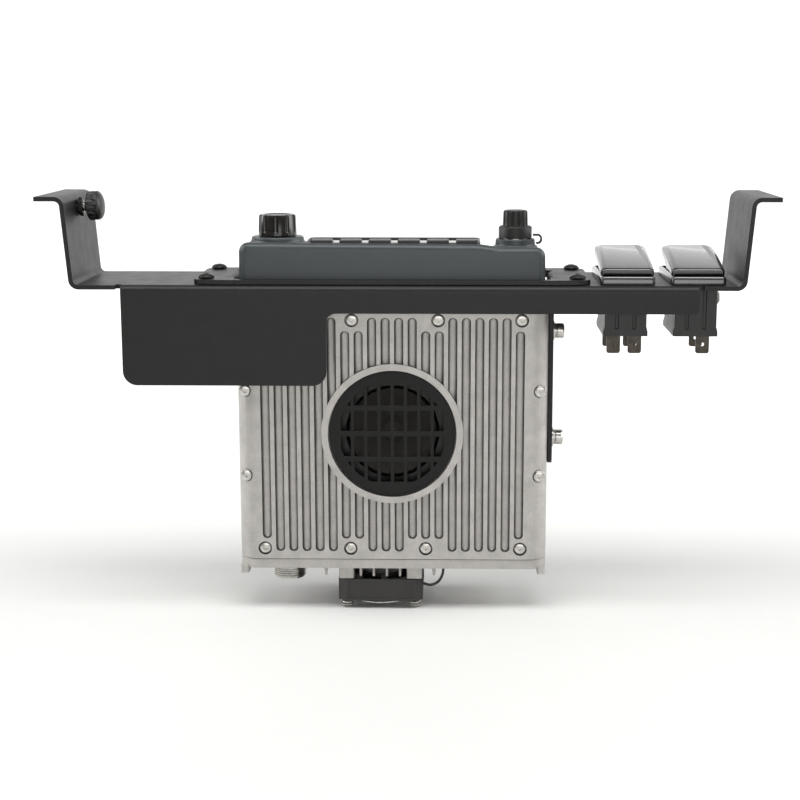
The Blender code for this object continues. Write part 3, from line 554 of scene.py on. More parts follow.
def make_bracket(sizes):
    """A bent sheet whose ends turn up into webs and out into flanges, with a lip and a tongue in front."""
    low, high = near("mounting_bracket", PLATE)
    sheet = sizes.sheet
    flange = high.z - sheet / 2
    half = [(sizes.web_foot, -sheet / 2), (sizes.web_head, flange), (high.x, flange)]
    path = [(-x, z) for x, z in half[::-1]] + half
    bracket = prism(strip(path, sheet, sizes.bend), 0, high.y, "Y")
    left, right = -0.1299, 0.1318
    tongue_right, lip_drop = -0.0367, 0.0127
    lip = rounded(
        [
            (left, -sheet / 2, 0),
            (left, low.z, 0.0065),
            (tongue_right, low.z, 0.0065),
            (tongue_right, -lip_drop, 0.0045),
            (right, -lip_drop, 0.0025),
            (right, -sheet / 2, 0),
        ],
        8,
    )
    bracket = joined(bracket, prism(lip, 0, sheet, "Y"))
    bend = 0.003
    corner = [(-bend * 0.5, bend * 0.5), (-bend * 0.5, -bend)]
    corner += [(bend - bend * math.cos(t), -bend + bend * math.sin(t)) for t in quarter(6)]
    corner += [(bend, bend * 0.5)]
    openings = [prism(corner, left, right, "X")]
    relief = 0.0012
    for x in (left - relief, right + relief):
        openings.append(block((x - relief, x + relief), (-0.001, 0.0042), (-0.004, 0.001)))
    through = (-0.003, 0.001)
    openings.append(prism(rectangle(-0.087, 0.0055, 0.073, 0.0535, 0.003), *through))
    for number in (1, 2):
        base_low, base_high = near(f"switch_base_{number}", PLATE)
        outline = rectangle(base_low.x - GAP, base_low.y - GAP, base_high.x + GAP, base_high.y + GAP)
        openings.append(prism(outline, *through))
    for number in range(1, 5):
        screw = middle_of(f"insert_screw_{number}", PLATE)
        openings.append(rod(0.0022, 20, (screw.x, screw.y), *through))
    stud_hole = turned([(0.003, -0.004), (0.003, 0.004)], 24, "X")
    openings.append(moved(stud_hole, thumb_place(sizes) - PLATE, -web_lean(sizes), "Y"))
    bracket = cut(bracket, *openings)
    show("bracket_sheet", bracket, "powder_coat", "root", ["mounting_bracket"], PLATE, 0.00035)


def quarter(steps):
    """Angles of a quarter turn, both ends included."""
    return [math.pi / 2 * i / steps for i in range(steps + 1)]


def web_lean(sizes):
    return math.atan((sizes.web_head - sizes.web_foot) / near("mounting_bracket", PLATE)[1].z)


def thumb_place(sizes):
    """Where the thumb screw's axis passes through the middle of the left web."""
    lean = web_lean(sizes)
    nut = middle_of("thumb_nut", PLATE)
    off_web = (nut.x + sizes.web_foot + (nut.z + sizes.sheet / 2) * math.tan(lean)) * math.cos(lean)
    return PLATE + Vector((nut.x - off_web * math.cos(lean), nut.y, nut.z - off_web * math.sin(lean)))


def make_insert(sizes):
    """The plate that carries the radio, with a tab bent down at each side and a notch beside each bend."""
    low, high = near("insert_plate")
    bottom = GAP
    tab_inner, tab_front, tab_back = near("chassis")[1].x + GAP, 0.0145, 0.0435
    bend = 0.0022
    plate = prism(rectangle(low.x, low.y, high.x, high.y, 0.007, 10), bottom, high.z)
    cuts = [prism(rectangle(-tab_inner, 0.006, tab_inner, 0.052, 0.002), -0.001, 0.004)]
    for side in (-1, 1):
        edges = sorted((side * (tab_inner - 0.002), side * (tab_inner + sizes.sheet / 2 + bend)))
        cuts.append(block(edges, (tab_front - 0.0016, tab_back + 0.0016), (-0.001, 0.004)))
    for number in range(1, 5):
        screw = middle_of(f"insert_screw_{number}")
        cuts.append(rod(0.0022, 20, (screw.x, screw.y), -0.001, 0.004))
    plate = cut(plate, *cuts)
    feet = {1: low.z, -1: -0.0344}
    centre = (bottom + high.z) / 2
    for side, foot in feet.items():
        x = side * (tab_inner + sizes.sheet / 2)
        path = [(x, foot), (x, centre), (x + side * 0.006, centre)]
        tab = prism(strip(path, high.z - bottom, bend), tab_front, tab_back, "Y")
        foot_corners = [(tab_front, foot, 0.004), (tab_back, foot, 0.004)]
        keep = rounded([*foot_corners, (tab_back, 0.004, 0), (tab_front, 0.004, 0)])
        tab = common(tab, prism(keep, -0.09, 0.09, "X"))
        plate = joined(plate, tab)
    for name in ("upper", "lower", "left"):
        bolt = middle_of(f"side_bolt_{name}")
        reach = sorted((math.copysign(0.069, bolt.x), math.copysign(0.077, bolt.x)))
        plate = cut(plate, rod(0.0023, 20, (bolt.y, bolt.z), *reach, "X"))
    show("insert_sheet", plate, "powder_coat", "root", ["insert_plate"], RADIO, 0.0003)


def hex_socket(across, low, high, axis="Z"):
    """A cutter for a hexagon socket of that width across its flats."""
    return prism(circle(across / 2 / math.cos(math.pi / 6), 6), low, high, axis)


def make_insert_screws(sizes):
    """Button-head screws with hexagon sockets."""
    dome = [(0.0037 * math.cos(t), 0.0003 + 0.0019 * math.sin(t)) for t in quarter(10)]
    profile = [(0.0, -0.0082), (0.0014, -0.0082), (0.0018, -0.0078), (0.0018, 0), (0.0036, 0), *dome]
    for number in range(1, 5):
        name = f"insert_screw_{number}"
        low, high = near(name)
        centre = (low + high) / 2
        mesh = cut(turned(profile, 40), hex_socket(0.0025, 0.0009, 0.004))
        origin = RADIO + Vector((centre.x, centre.y, high.z - 0.0022))
        show(f"button_screw_{number}", mesh, "black_oxide", "root", [name], origin, 0.00008)


def make_side_bolts(sizes):
    """Cap screws with a spring washer and a flat washer, through the insert plate's tabs."""
    for name in ("upper", "lower", "left"):
        node = f"side_bolt_{name}"
        low, high = near(node)
        side = 1 if high.x > 0 else -1
        tip = high.x if side > 0 else low.x
        seat = tip - side * 0.0055
        head = [(0.0, -0.0092), (0.0017, -0.0092), (0.002, -0.0088), (0.002, 0.0), (0.0046, 0.0)]
        head += [(0.0046, 0.0009), (0.0036, 0.001), (0.0036, 0.0018), (0.0033, 0.002), (0.0036, 0.0022)]
        head += [(0.0036, 0.0049), (0.0031, 0.0055), (0.0, 0.0055)]
        mesh = turned([(radius, side * along) for radius, along in head], 36, "X")
        socket = hex_socket(0.003, *sorted((side * 0.0027, side * 0.008)), "X")
        origin = RADIO + Vector((seat, (low.y + high.y) / 2, (low.z + high.z) / 2))
        show(f"cap_screw_{name}", cut(mesh, socket), "zinc", "root", [node], origin, 0.0001)


def knurled(profile, teeth, depth, knurl_low, knurl_high):
    """A turned profile along X whose stretch between two places carries a diamond knurl."""
    sides = teeth * 4
    rings = []
    for radius, along in profile:
        ring = []
        cross = along * 900
        for turn in turns_of(sides):
            dents = max(math.sin(teeth * turn / 2 + cross), math.sin(teeth * turn / 2 - cross))
            dip = depth * max(dents, 0) if knurl_low < along < knurl_high else 0.0
            ring.append((along, (radius - dip) * math.cos(turn), (radius - dip) * math.sin(turn)))
        rings.append(ring)
    return skin(rings)


def make_thumb_screw(sizes):
    """A knurled screw through the left web, with its lock nut and the bright end of its thread."""
    place = thumb_place(sizes)
    turn = -web_lean(sizes)
    nut = prism(circle(0.0044, 6), 0.0013, 0.0033, "X")
    chamfered = [(0.0037, 0.0012), (0.0045, 0.0017), (0.0045, 0.0029), (0.0037, 0.0034)]
    nut = common(nut, turned(chamfered, 36, "X"))
    nut = cut(nut, prism(circle(0.0027, 24), 0.0, 0.005, "X"))
    show("lock_nut", nut, "black_oxide", "root", ["thumb_nut"], place, 0.0001, turn=turn)
    thread = [(0.0, -0.001), (0.0021, -0.001)]
    pitch, along = 0.0008, -0.0006
    while along < 0.0108:
        thread += [(0.0025, along), (0.00215, along + pitch / 2)]
        along += pitch
    thread += [(0.0024, 0.0112), (0.0, 0.0112)]
    show("stud_thread", turned(thread, 32, "X"), "nickel", "thumb_stud", ["thumb_stud"], place, turn=turn)
    body = [(0.0, 0.0115), (0.0028, 0.0115), (0.0028, 0.0054), (0.0056, 0.0054), (0.0064, 0.0058)]
    body += [(0.0067, 0.006 + 0.0003 * i) for i in range(16)]
    body += [(0.0064, 0.0109), (0.0061, 0.0114), (0.005, 0.0121), (0.0036, 0.0126)]
    body += [(0.0018, 0.01285), (0.0, 0.0129)]
    knob = knurled(body, 30, 0.00035, 0.0062, 0.0104)
    show("knurled_knob", knob, "black_moulding", "thumb_knob", ["thumb_knob"], place, turn=turn)


# Radio body.


def cover_screw_names():
    return [f"cover_screw_{number:02}" for number in range(1, 13)]


def fan_centre():
    return middle_of("fan_frame")


def make_chassis(sizes):
    """The cast tray: ribbed back, rear wall with fan posts, fins, feet and locating spikes."""
    low, high = near("chassis")
    floor = REAR_WALL
    front, back = 0.007, high.y
    corners = [(low.x, front, 0.0088), (high.x, front, 0.0088), (high.x, back, 0.005), (low.x, back, 0.005)]
    cover_low, cover_high = near("bottom_cover")
    wide = high.x + 0.002
    cavity = 0.0625
    tray = prism(rounded(corners, 8), floor, high.z)
    tray = cut(tray, block((-wide, wide), (0, cover_high.y + GAP), (cover_low.z - GAP, cover_high.z + GAP)))
    tray = cut(tray, block((-cavity, cavity), (0.01, 0.0484), (-0.1205, -0.0205)))
    ribs = []
    for i in range(11):
        x = (i - 5) * 0.0124
        ribs.append(prism(rectangle(x - 0.0021, -0.126, x + 0.0021, -0.0146, 0.00205), 0.0504, 0.06, "Y"))
    holes = []
    for name in cover_screw_names():
        screw = middle_of(name)
        holes.append(rod(0.0017, 16, (screw.x, screw.z), 0.01, 0.0252, "Y"))
    for name in ("upper", "lower", "left"):
        bolt = middle_of(f"side_bolt_{name}")
        reach = sorted((math.copysign(0.061, bolt.x), math.copysign(0.0755, bolt.x)))
        holes.append(rod(0.0023, 20, (bolt.y, bolt.z), *reach, "X"))
    antenna = middle_of("antenna_socket")
    holes.append(rod(0.0082, 32, (antenna.x, antenna.y), -0.14, -0.115))
    tray = cut(tray, *ribs, *holes)
    fan = fan_centre()
    fan_top = near("fan_frame")[1].z
    grown, bores = [], []
    for side in (-1, 1):
        for away in (-1, 1):
            place = (fan.x + side * sizes.fan_hole, fan.y + away * sizes.fan_hole)
            post = about(*place, 0.0036, 0.0036, 0.0009)
            grown.append(prism(post, fan_top + GAP, floor + 0.001))
            bores.append(rod(0.0019, 16, place, fan_top - 0.001, floor + 0.002))
    for i in (-1.5, -0.5, 0.5, 1.5):
        x = fan.x + i * sizes.groove_pitch
        fin = rectangle(x - 0.0006, 0.0095, x + 0.0006, 0.0485, 0.0005, 3)
        grown.append(prism(fin, floor - 0.0046, floor + 0.001))
    for x in (-0.0699, 0.0699):
        for y in (0.0116, 0.0425):
            grown.append(prism(about(x, y, 0.0019, 0.004, 0.001, 3), floor - 0.0027, floor + 0.001))
    spike = [(0.0, floor - 0.0042), (0.0005, floor - 0.004), (0.001, floor)]
    spike += [(0.0012, floor + 0.001), (0, floor + 0.001)]
    for x in (-0.0316, 0.0194):
        grown.append(turned(spike, 16, "Z", (x, 0.0096)))
    tray = cut(joined(tray, *grown), *bores)
    show("chassis_casting", tray, "casting", "root", ["chassis"], RADIO, 0.00045, 2)


def groove_ends(i, last):
    """Top and bottom of groove i: the ones that pass a screw stop short of it."""
    mirrored = min(i, last - i)
    top = -0.0217 if mirrored in (0, 6, 7) else -0.0155
    bottom = -0.12 if mirrored in (0, 6, 7) or i == 11 else -0.1262
    return top, bottom


# A groove's width at each share of its depth: steep walls that round into a hollow floor.
GROOVE_SECTION = ((1.0, -0.4), (1.0, 0.05), (0.97, 0.35), (0.9, 0.62), (0.76, 0.84), (0.5, 0.97), (0.25, 1.0))


def make_cover(sizes):
    """The ribbed cover, with a raised ring round the loudspeaker and a counterbore for each screw."""
    low, high = near("bottom_cover")
    face = near("cover_screw_01")[0].y
    edge = 0.0088
    corners = [(low.x, face, edge), (high.x, face, edge), (high.x, high.y, 0), (low.x, high.y, 0)]
    cover = prism(rounded(corners, 10), low.z, high.z)
    cuts = [block((-0.0625, 0.0625), (0.0118, 0.017), (-0.1205, -0.0205))]
    last = sizes.grooves - 1
    half = sizes.groove_width / 2
    for i in range(sizes.grooves):
        x = (i - last / 2) * sizes.groove_pitch
        top, bottom = groove_ends(i, last)
        levels = []
        for share, depth in GROOVE_SECTION:
            inset, reach = half * (1 - share), half * share
            outline = rectangle(x - reach, bottom + inset, x + reach, top - inset, reach * 0.9, 5)
            levels.append((outline, face + depth * sizes.groove_depth))
        cuts.append(stacked(levels, "Y"))
    cover = cut(cover, *cuts)
    speaker = middle_of("speaker_grille")
    centre = (speaker.x, speaker.z)
    ring_outer, ring_inner = 0.0329, 0.02985
    cover = joined(cover, rod(ring_outer, 96, centre, low.y, 0.0117, "Y"))
    seat = 0.0086
    cover = cut(cover, rod(ring_inner, 96, centre, 0, seat, "Y"))
    through = [rod(0.027, 64, centre, 0, 0.014, "Y")]
    bore = [(0.0, 0.004), (0.0032, 0.004), (0.0032, face + 0.0004), (0.003, 0.0088)]
    bore += [(0.0017, 0.0088), (0.0017, 0.02), (0, 0.02)]
    for name in cover_screw_names():
        screw = middle_of(name)
        through.append(turned(bore, 28, "Y", (screw.x, screw.z)))
    cover = cut(cover, *through)
    show("ribbed_cover", cover, "cover_casting", "root", ["bottom_cover"], RADIO, 0.0004, 2)


def make_cover_screws(sizes):
    """Pan-head screws with hexagon sockets, sunk in the cover."""
    dome = [(0.0027 * math.cos(t), 0.0008 - 0.0006 * math.sin(t)) for t in quarter(8)]
    profile = [*dome[::-1], (0.0027, 0.0019), (0.0014, 0.0019), (0.0014, 0.0175), (0.0, 0.0175)]
    for name in cover_screw_names():
        low, high = near(name)
        mesh = cut(turned(profile, 32, "Y"), hex_socket(0.0021, -0.001, 0.0013, "Y"))
        origin = RADIO + Vector(((low.x + high.x) / 2, low.y, (low.z + high.z) / 2))
        show(name.replace("cover", "pan"), mesh, "zinc", "root", [name], origin, 0.0001)


def make_speaker(sizes):
    """The slotted grille. The basket and cone behind it keep their shapes."""
    low, high = near("speaker_grille")
    centre = (low + high) / 2
    radius = (high.x - low.x) / 2
    grille = prism(circle(radius, 96), low.y, high.y, "Y")
    columns, rows, field = 8, 4, 0.0248
    half_width, half_height = sizes.slot_width / 2, sizes.slot_height / 2
    slots = []
    for column in range(columns):
        x = (column - (columns - 1) / 2) * 0.00615
        for row in range(rows):
            z = (row - (rows - 1) / 2) * 0.0121
            slots.append(prism(about(x, z, half_width, half_height), 0.003, 0.012, "Y"))
    slots = common(gathered(slots), prism(circle(field, 64), 0, 0.02, "Y"))
    grille = cut(grille, slots)
    origin = RADIO + Vector((centre.x, 0, centre.z))
    show("slotted_grille", grille, "grille", "root", ["speaker_grille"], origin, 0.00018)
    carry("speaker_frame", "black_oxide")
    carry("speaker_cone", "paper")


def make_boards(sizes):
    """The circuit boards and the encoder keep their shapes, inside the casings."""
    carry("main_board", "board")
    carry("control_board", "board")
    carry("volume_encoder", "nickel")


# Front panel and controls.


def key_place(number):
    return middle_of(f"key_{number}")


def fillet(centre_radius, centre_place, radius, steps=6):
    """The (radius, place) points of a hollow fillet, from the foot of a boss up its side."""
    turns = quarter(steps)
    return [(centre_radius - radius * math.sin(t), centre_place - radius * math.cos(t)) for t in turns]


def bezel_ring(y, inset):
    """The front panel's outline at a depth, drawn in by that much, on a face that falls away to the back."""
    half, base = near("front_bezel")[1].x, near("front_bezel")[0].z
    left_top, middle_top, right_top = [z - inset - (y - 0.011) * 0.0938 for z in (0.0186, 0.018, 0.0166)]
    corner = 0.0044 - inset * 0.5
    corners = [
        (-half + inset, base, 0),
        (half - inset, base, 0),
        (half - 0.0004 - inset, right_top, corner),
        (0.049, right_top, 0.006),
        (0.0395, middle_top, 0.006),
        (-half + 0.0004 + inset, left_top, corner),
    ]
    return [(x, y, z) for x, z in rounded(corners, 8)]


def make_bezel(sizes):
    """The moulded panel: soft edges all round, a knob pedestal, a socket boss and a framed window."""
    low, high = near("front_bezel")
    front_round, back_round = 0.0036, 0.0026
    rings = []
    for t in quarter(7):
        rings.append(bezel_ring(low.y + front_round * (1 - math.cos(t)), front_round * (1 - math.sin(t))))
    for t in reversed(quarter(6)):
        rings.append(bezel_ring(high.y - back_round * (1 - math.cos(t)), back_round * (1 - math.sin(t))))
    body = skin(rings)
    knob, socket = middle_of("volume_knob"), middle_of("mic_socket")
    inside = block((-0.0665, 0.0665), (0.0094, 0.0486), (-0.007, 0.0095))
    surround = prism(rectangle(-0.0405, 0.0195, 0.0405, 0.0474, 0.003), 0.0115, 0.0177)
    pocket = prism(rectangle(-0.0396, 0.0204, 0.0396, 0.0465, 0.0024), 0.0157, 0.03)
    keys = []
    for number in range(1, 7):
        key = key_place(number)
        reach = (sizes.key_width / 2 + GAP, sizes.key_depth / 2 + GAP)
        keys.append(prism(about(key.x, key.y, *reach, 0.0005, 2), 0.005, 0.03))
    body = joined(cut(body, inside), surround)
    body = cut(body, pocket, *keys)
    body = cut(body, block((-0.037, 0.037), (0.0225, 0.0445), (0.005, 0.0165)))
    pedestal = [(0.0, 0.0125), (0.0142, 0.0125), *fillet(0.0142, 0.0188, 0.002)]
    pedestal += [(0.0122, 0.0191), (0.0121, 0.0194), (0.0117, 0.0198), (0.0, 0.0198)]
    boss = [(0.0, 0.0115), (0.0104, 0.0115), *fillet(0.0104, 0.0166, 0.0012)]
    boss += [(0.0091, 0.0185), (0.0087, 0.0189), (0.0, 0.0189)]
    body = joined(body, turned(pedestal, 64, "Z", (knob.x, knob.y)))
    body = joined(body, turned(boss, 56, "Z", (socket.x, socket.y)))
    knob_hole = rod(0.0047, 32, (knob.x, knob.y), 0.005, 0.03)
    socket_hole = rod(0.0068, 40, (socket.x, socket.y), 0.005, 0.03)
    body = cut(body, knob_hole, socket_hole)
    show("moulded_bezel", body, "panel", "root", ["front_bezel"], RADIO, 0.00035, 2)
    near_corner, far_corner = near("display_window")
    outline = rectangle(near_corner.x, near_corner.y, far_corner.x, far_corner.y, 0.0021)
    pane = prism(outline, near_corner.z, far_corner.z)
    show("window_pane", pane, "window", "root", ["display_window"], RADIO, 0.0002)


def make_keys(sizes):
    """Six low keys whose skirts are wider than their openings."""
    wide, deep = sizes.key_width / 2, sizes.key_depth / 2
    for number in range(1, 7):
        node = f"key_{number}"
        low, high = near(node)
        # (how far the outline is drawn in, its corner radius, height)
        section = [(-0.0005, 0.0006, low.z), (-0.0005, 0.0006, 0.0091), (0.0, 0.0006, 0.0092)]
        section += [(0.0, 0.0006, high.z - 0.0007), (0.0002, 0.0005, high.z - 0.0003), (0.0005, 0.0004, high.z)]
        levels = [(about(0, 0, wide - inset, deep - inset, radius, 3), z) for inset, radius, z in section]
        centre = (low + high) / 2
        origin = RADIO + Vector((centre.x, centre.y, 0))
        show(f"panel_key_{number}", stacked(levels), "black_moulding", node, [node], origin)


def make_volume_knob(sizes):
    """A fluted knob whose shaft drops into the encoder."""
    low, high = near("volume_knob")
    centre = (low + high) / 2
    base, top, shaft = 0.00885, 0.0085, 0.003
    skirt = 0.0202
    profile = [(0.0, low.z), (shaft, low.z), (shaft, skirt)]
    profile += [(base - 0.0003, skirt), (base, skirt + 0.0003)]
    profile += [(top, high.z - 0.0008), (top - 0.00025, high.z - 0.0003), (top - 0.0008, high.z)]
    profile += [(top - 0.0022, high.z), (top - 0.0026, high.z - 0.0003), (0.0, high.z - 0.0003)]
    flute = [(0.0, 0.0216), (0.0009, 0.0218), (0.00135, 0.0223), (0.00145, 0.023)]
    flute += [(0.00145, 0.034), (0, 0.034)]
    flutes = [turned(flute, 20, "Z", place) for place in circle(base + 0.0002, sizes.knob_flutes)]
    mesh = cut(turned(profile, 80), gathered(flutes))
    origin = RADIO + Vector((centre.x, centre.y, 0))
    show("fluted_knob", mesh, "knob", "volume_knob", ["volume_knob"], origin, 0.00018, 3)


def make_microphone_socket(sizes):
    """A round socket with six pins, under a ribbed rubber cap that a strap keeps on the panel."""
    low, high = near("mic_socket")
    middle = (low + high) / 2
    origin = RADIO + Vector((middle.x, middle.y, 0))
    shell = [(0.0, low.z), (0.0065, low.z), (0.0065, 0.0231), (0.0062, high.z), (0.0056, high.z)]
    shell += [(0.0054, 0.0232), (0.0054, 0.015), (0.0, 0.015)]
    show("socket_shell", turned(shell, 48), "nickel", "root", ["mic_socket"], origin)
    insert = [(0.0, 0.0151), (0.0052, 0.0151), (0.0052, 0.0172), (0.0, 0.0172)]
    show("socket_insert", turned(insert, 32), "black_moulding", "root", (), origin)
    pin = [(0.0, 0.0165), (0.0004, 0.0165), (0.0004, 0.0215), (0.0002, 0.0219), (0.0, 0.022)]
    pins = gathered([turned(pin, 10, "Z", place) for place in circle(0.0032, 6, start=0.0)])
    show("socket_pins", pins, "brass", "root", (), origin)
    cap_low, cap_high = near("mic_cap")
    sides = sizes.cap_ribs * 8
    foot, lid_top = cap_low.z, cap_high.z
    profile = [(0.0, 0.0238), (0.0068, 0.0238), (0.0068, foot), (0.0075, foot), (0.0077, foot + 0.0002)]
    profile += [(0.0077, 0.0241), (0.0075, 0.0245), (0.007, 0.0248), (0.006, 0.0249)]
    grip = [(0.00585, 0.0252), (0.0058, 0.0258), (0.0057, 0.029), (0.0056, 0.0312), (0.0054, 0.0317)]
    lid = [(0.005, lid_top), (0.0042, lid_top), (0.0038, lid_top - 0.0002), (0.0, lid_top - 0.0002)]
    rings = []
    for radius, place in [*profile, *grip, *lid]:
        ribbed = 0.025 < place < 0.0315
        ring = []
        for turn in turns_of(sides):
            dip = 0.00055 * max(0.0, math.cos(sizes.cap_ribs * turn)) ** 0.6 if ribbed else 0.0
            ring.append(((radius - dip) * math.cos(turn), (radius - dip) * math.sin(turn), place))
        rings.append(ring)
    show("ribbed_cap", skin(rings), "rubber", "mic_cap", ["mic_cap"], origin)
    path = [(0.0082, 0.0206), (0.0121, 0.0206), (0.0121, 0.0168), (0.0097, 0.0168)]
    strap = prism(strip(path, 0.0009, 0.0017, 10), -0.0012, 0.0012, "Y")
    tether = show("cap_strap", strap, "rubber", None, ["cap_tether"], origin, 0.0003)
    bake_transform(tether)


def make_antenna_socket(sizes):
    """A threaded coaxial socket through the rear wall, with its white insulator and centre contact."""
    low, high = near("antenna_socket")
    centre = (low + high) / 2
    origin = RADIO + Vector((centre.x, centre.y, 0))
    radius, root = 0.0079, 0.0072
    wall = REAR_WALL - GAP
    flange = 0.0102
    profile = [(0.0, high.z), (0.0062, high.z), (radius, -0.12), (radius, wall), (flange, wall)]
    profile += [(flange, wall - 0.0011), (flange - 0.0003, wall - 0.0014), (root, wall - 0.0014)]
    pitch, along = sizes.thread_pitch, wall - 0.0019
    while along - pitch > low.z:
        profile += [(root, along), (radius, along - pitch * 0.42), (radius, along - pitch * 0.58)]
        along -= pitch
    profile += [(root, along), (root, low.z + 0.0002), (root - 0.0002, low.z), (0.0064, low.z)]
    profile += [(0.0062, low.z + 0.0003), (0.0062, -0.1341), (0.0, -0.1341)]
    show("threaded_socket", turned(profile, 48), "nickel", "root", ["antenna_socket"], origin)
    contact = [(0.0, -0.1345), (0.0059, -0.1345), (0.0059, -0.138), (0.0023, -0.138), (0.0023, -0.1422)]
    contact += [(0.0021, -0.1425), (0.0014, -0.1425), (0.0014, -0.138), (0.0, -0.138)]
    show("centre_contact", turned(contact, 32), "brass", "root", ["antenna_contact"], origin)


# Fan.


def make_fan(sizes):
    """The fan frame with its struts, and the rotor with curved blades."""
    low, high = near("fan_frame")
    origin = RADIO + Vector(((low.x + high.x) / 2, (low.y + high.y) / 2, 0))
    half = (high.x - low.x) / 2
    bottom, top = low.z, high.z
    hole = sizes.fan_hole
    body = prism(about(0, 0, half, half, 0.0032, 1), bottom, top)
    mouth, throat, lead_in, past = 0.0193, 0.0188, 0.0009, 0.001
    bore = [(0.0, bottom - past), (mouth, bottom - past), (mouth, bottom), (throat, bottom + lead_in)]
    bore += [(throat, top - lead_in), (mouth, top), (mouth, top + past), (0.0, top + past)]
    screw_holes = [rod(0.0021, 20, (x, y), bottom - past, top + past) for x in (-hole, hole) for y in (-hole, hole)]
    body = cut(body, turned(bore, 96), *screw_holes)
    post, rim, shallow = 0.0048, 0.0012, 0.0005
    sides = []
    for i in range(4):
        panel = block((post - half, half - post), (half - shallow, half + past), (bottom + rim, top - rim))
        sides.append(moved(panel, turn=math.tau * i / 4))
    body = cut(body, gathered(sides))
    struts = []
    for i in range(3):
        strut = block((0.006, 0.0192), (-0.0012, 0.0012), (top - 0.0016, top - 0.0002))
        struts.append(moved(strut, turn=math.tau * (i + 0.3) / 3))
    body = joined(body, *struts)
    body = joined(body, prism(circle(0.0098, 48), top - 0.0018, top))
    show("fan_housing", body, "fan_moulding", "root", ["fan_frame"], origin, 0.00025)
    hub = [(0.0, bottom + 0.0004), (0.0082, bottom + 0.0004), (0.009, bottom + 0.0008)]
    hub += [(0.0092, bottom + 0.0015), (0.0092, top - 0.0022), (0.0, top - 0.0022)]
    middle = (top + bottom) / 2 - 0.0006
    blades = []
    for i in range(7):
        rings = []
        for step in range(7):
            share = step / 6
            out = 0.0085 + share * 0.0096
            lean = math.radians(46 - 16 * share)
            ring = []
            for t in turns_of(16):
                u, v = 0.0052 * math.cos(t), 0.00055 * math.sin(t) + 0.0005 * math.cos(t) ** 2
                y = u * math.cos(lean) - v * math.sin(lean)
                z = u * math.sin(lean) + v * math.cos(lean)
                ring.append((out - 0.25 * y * share, y, middle + z * 0.86))
            rings.append(ring)
        blades.append(moved(skin(rings), turn=math.tau * i / 7))
    swept = turned([(0.0, bottom), (0.0181, bottom), (0.0181, top), (0.0, top)], 72)
    rotor = common(gathered(blades), swept)
    rotor = joined(turned(hub, 48), rotor)
    show("bladed_rotor", rotor, "black_moulding", "fan_rotor", ["fan_rotor"], origin)


def turns_of(steps):
    """Angles of a whole turn, the last one left out."""
    return [math.tau * i / steps for i in range(steps)]


def make_fan_guard(sizes):
    """A finger guard of welded wire, held by four screws."""
    low, high = near("fan_guard")
    centre = (low + high) / 2
    origin = RADIO + Vector((centre.x, centre.y, 0))
    wire = 0.00065
    height = near("fan_frame")[0].z - 0.0011
    corners = [(x, y) for x in (-sizes.fan_hole, sizes.fan_hole) for y in (-sizes.fan_hole, sizes.fan_hole)]
    pieces = []
    for radius in (0.007, 0.0125, 0.018):
        section = [(radius + u, height + v) for u, v in circle(wire, 10)]
        pieces.append(turned(section, 56, closed=True))
    for x, y in corners:
        spoke = turned([(0.0, 0.0061), (wire, 0.0061), (wire, 0.0205), (0.0, 0.0205)], 10, "X")
        pieces.append(moved(spoke, (0, 0, height - 0.0002), math.atan2(y, x)))
        eyelet = [(0.0023 + u, height + v) for u, v in circle(wire, 10)]
        pieces.append(turned(eyelet, 28, "Z", (x, y), closed=True))
    guard = pieces[0]
    for extra in pieces[1:]:
        guard = joined(guard, extra)
    show("wire_guard", guard, "nickel", "root", ["fan_guard"], origin)
    head = [(0.0, -0.0012), (0.0016, -0.00118), (0.0024, -0.0009), (0.003, -0.0003), (0.003, 0)]
    head += [(0.0014, 0), (0.0014, 0.016), (0.0, 0.016)]
    long, short, deep = (-0.0013, 0.0013), (-0.00025, 0.00025), (-0.002, -0.0006)
    for number in range(1, 5):
        name = f"fan_screw_{number}"
        middle, head_top = middle_of(name), near(name)[0].z + 0.0012
        place = RADIO + Vector((middle.x, middle.y, head_top))
        mesh = cut(cut(turned(head, 32), block(long, short, deep)), block(short, long, deep))
        show(f"guard_screw_{number}", mesh, "zinc", "root", [name], place, 0.00006)


def make_fan_lead(sizes):
    """The fan's lead, from the side of its housing up into the rear wall."""
    side = near("fan_frame")[1].x + GAP
    low, high = near("fan_lead")
    route = [
        (side, 0.0128, -0.1436),
        (side + 0.0035, 0.0122, -0.1442),
        (side + 0.0072, 0.0124, -0.1425),
        (side + 0.0092, 0.0133, -0.1388),
        (side + 0.0094, 0.014, high.z),
    ]
    mesh = tube(smooth_route(route, 0.0012), 0.00065, 14)
    show("lead_jacket", mesh, "lead", "root", ["fan_lead"], RADIO)


# Rocker switches.


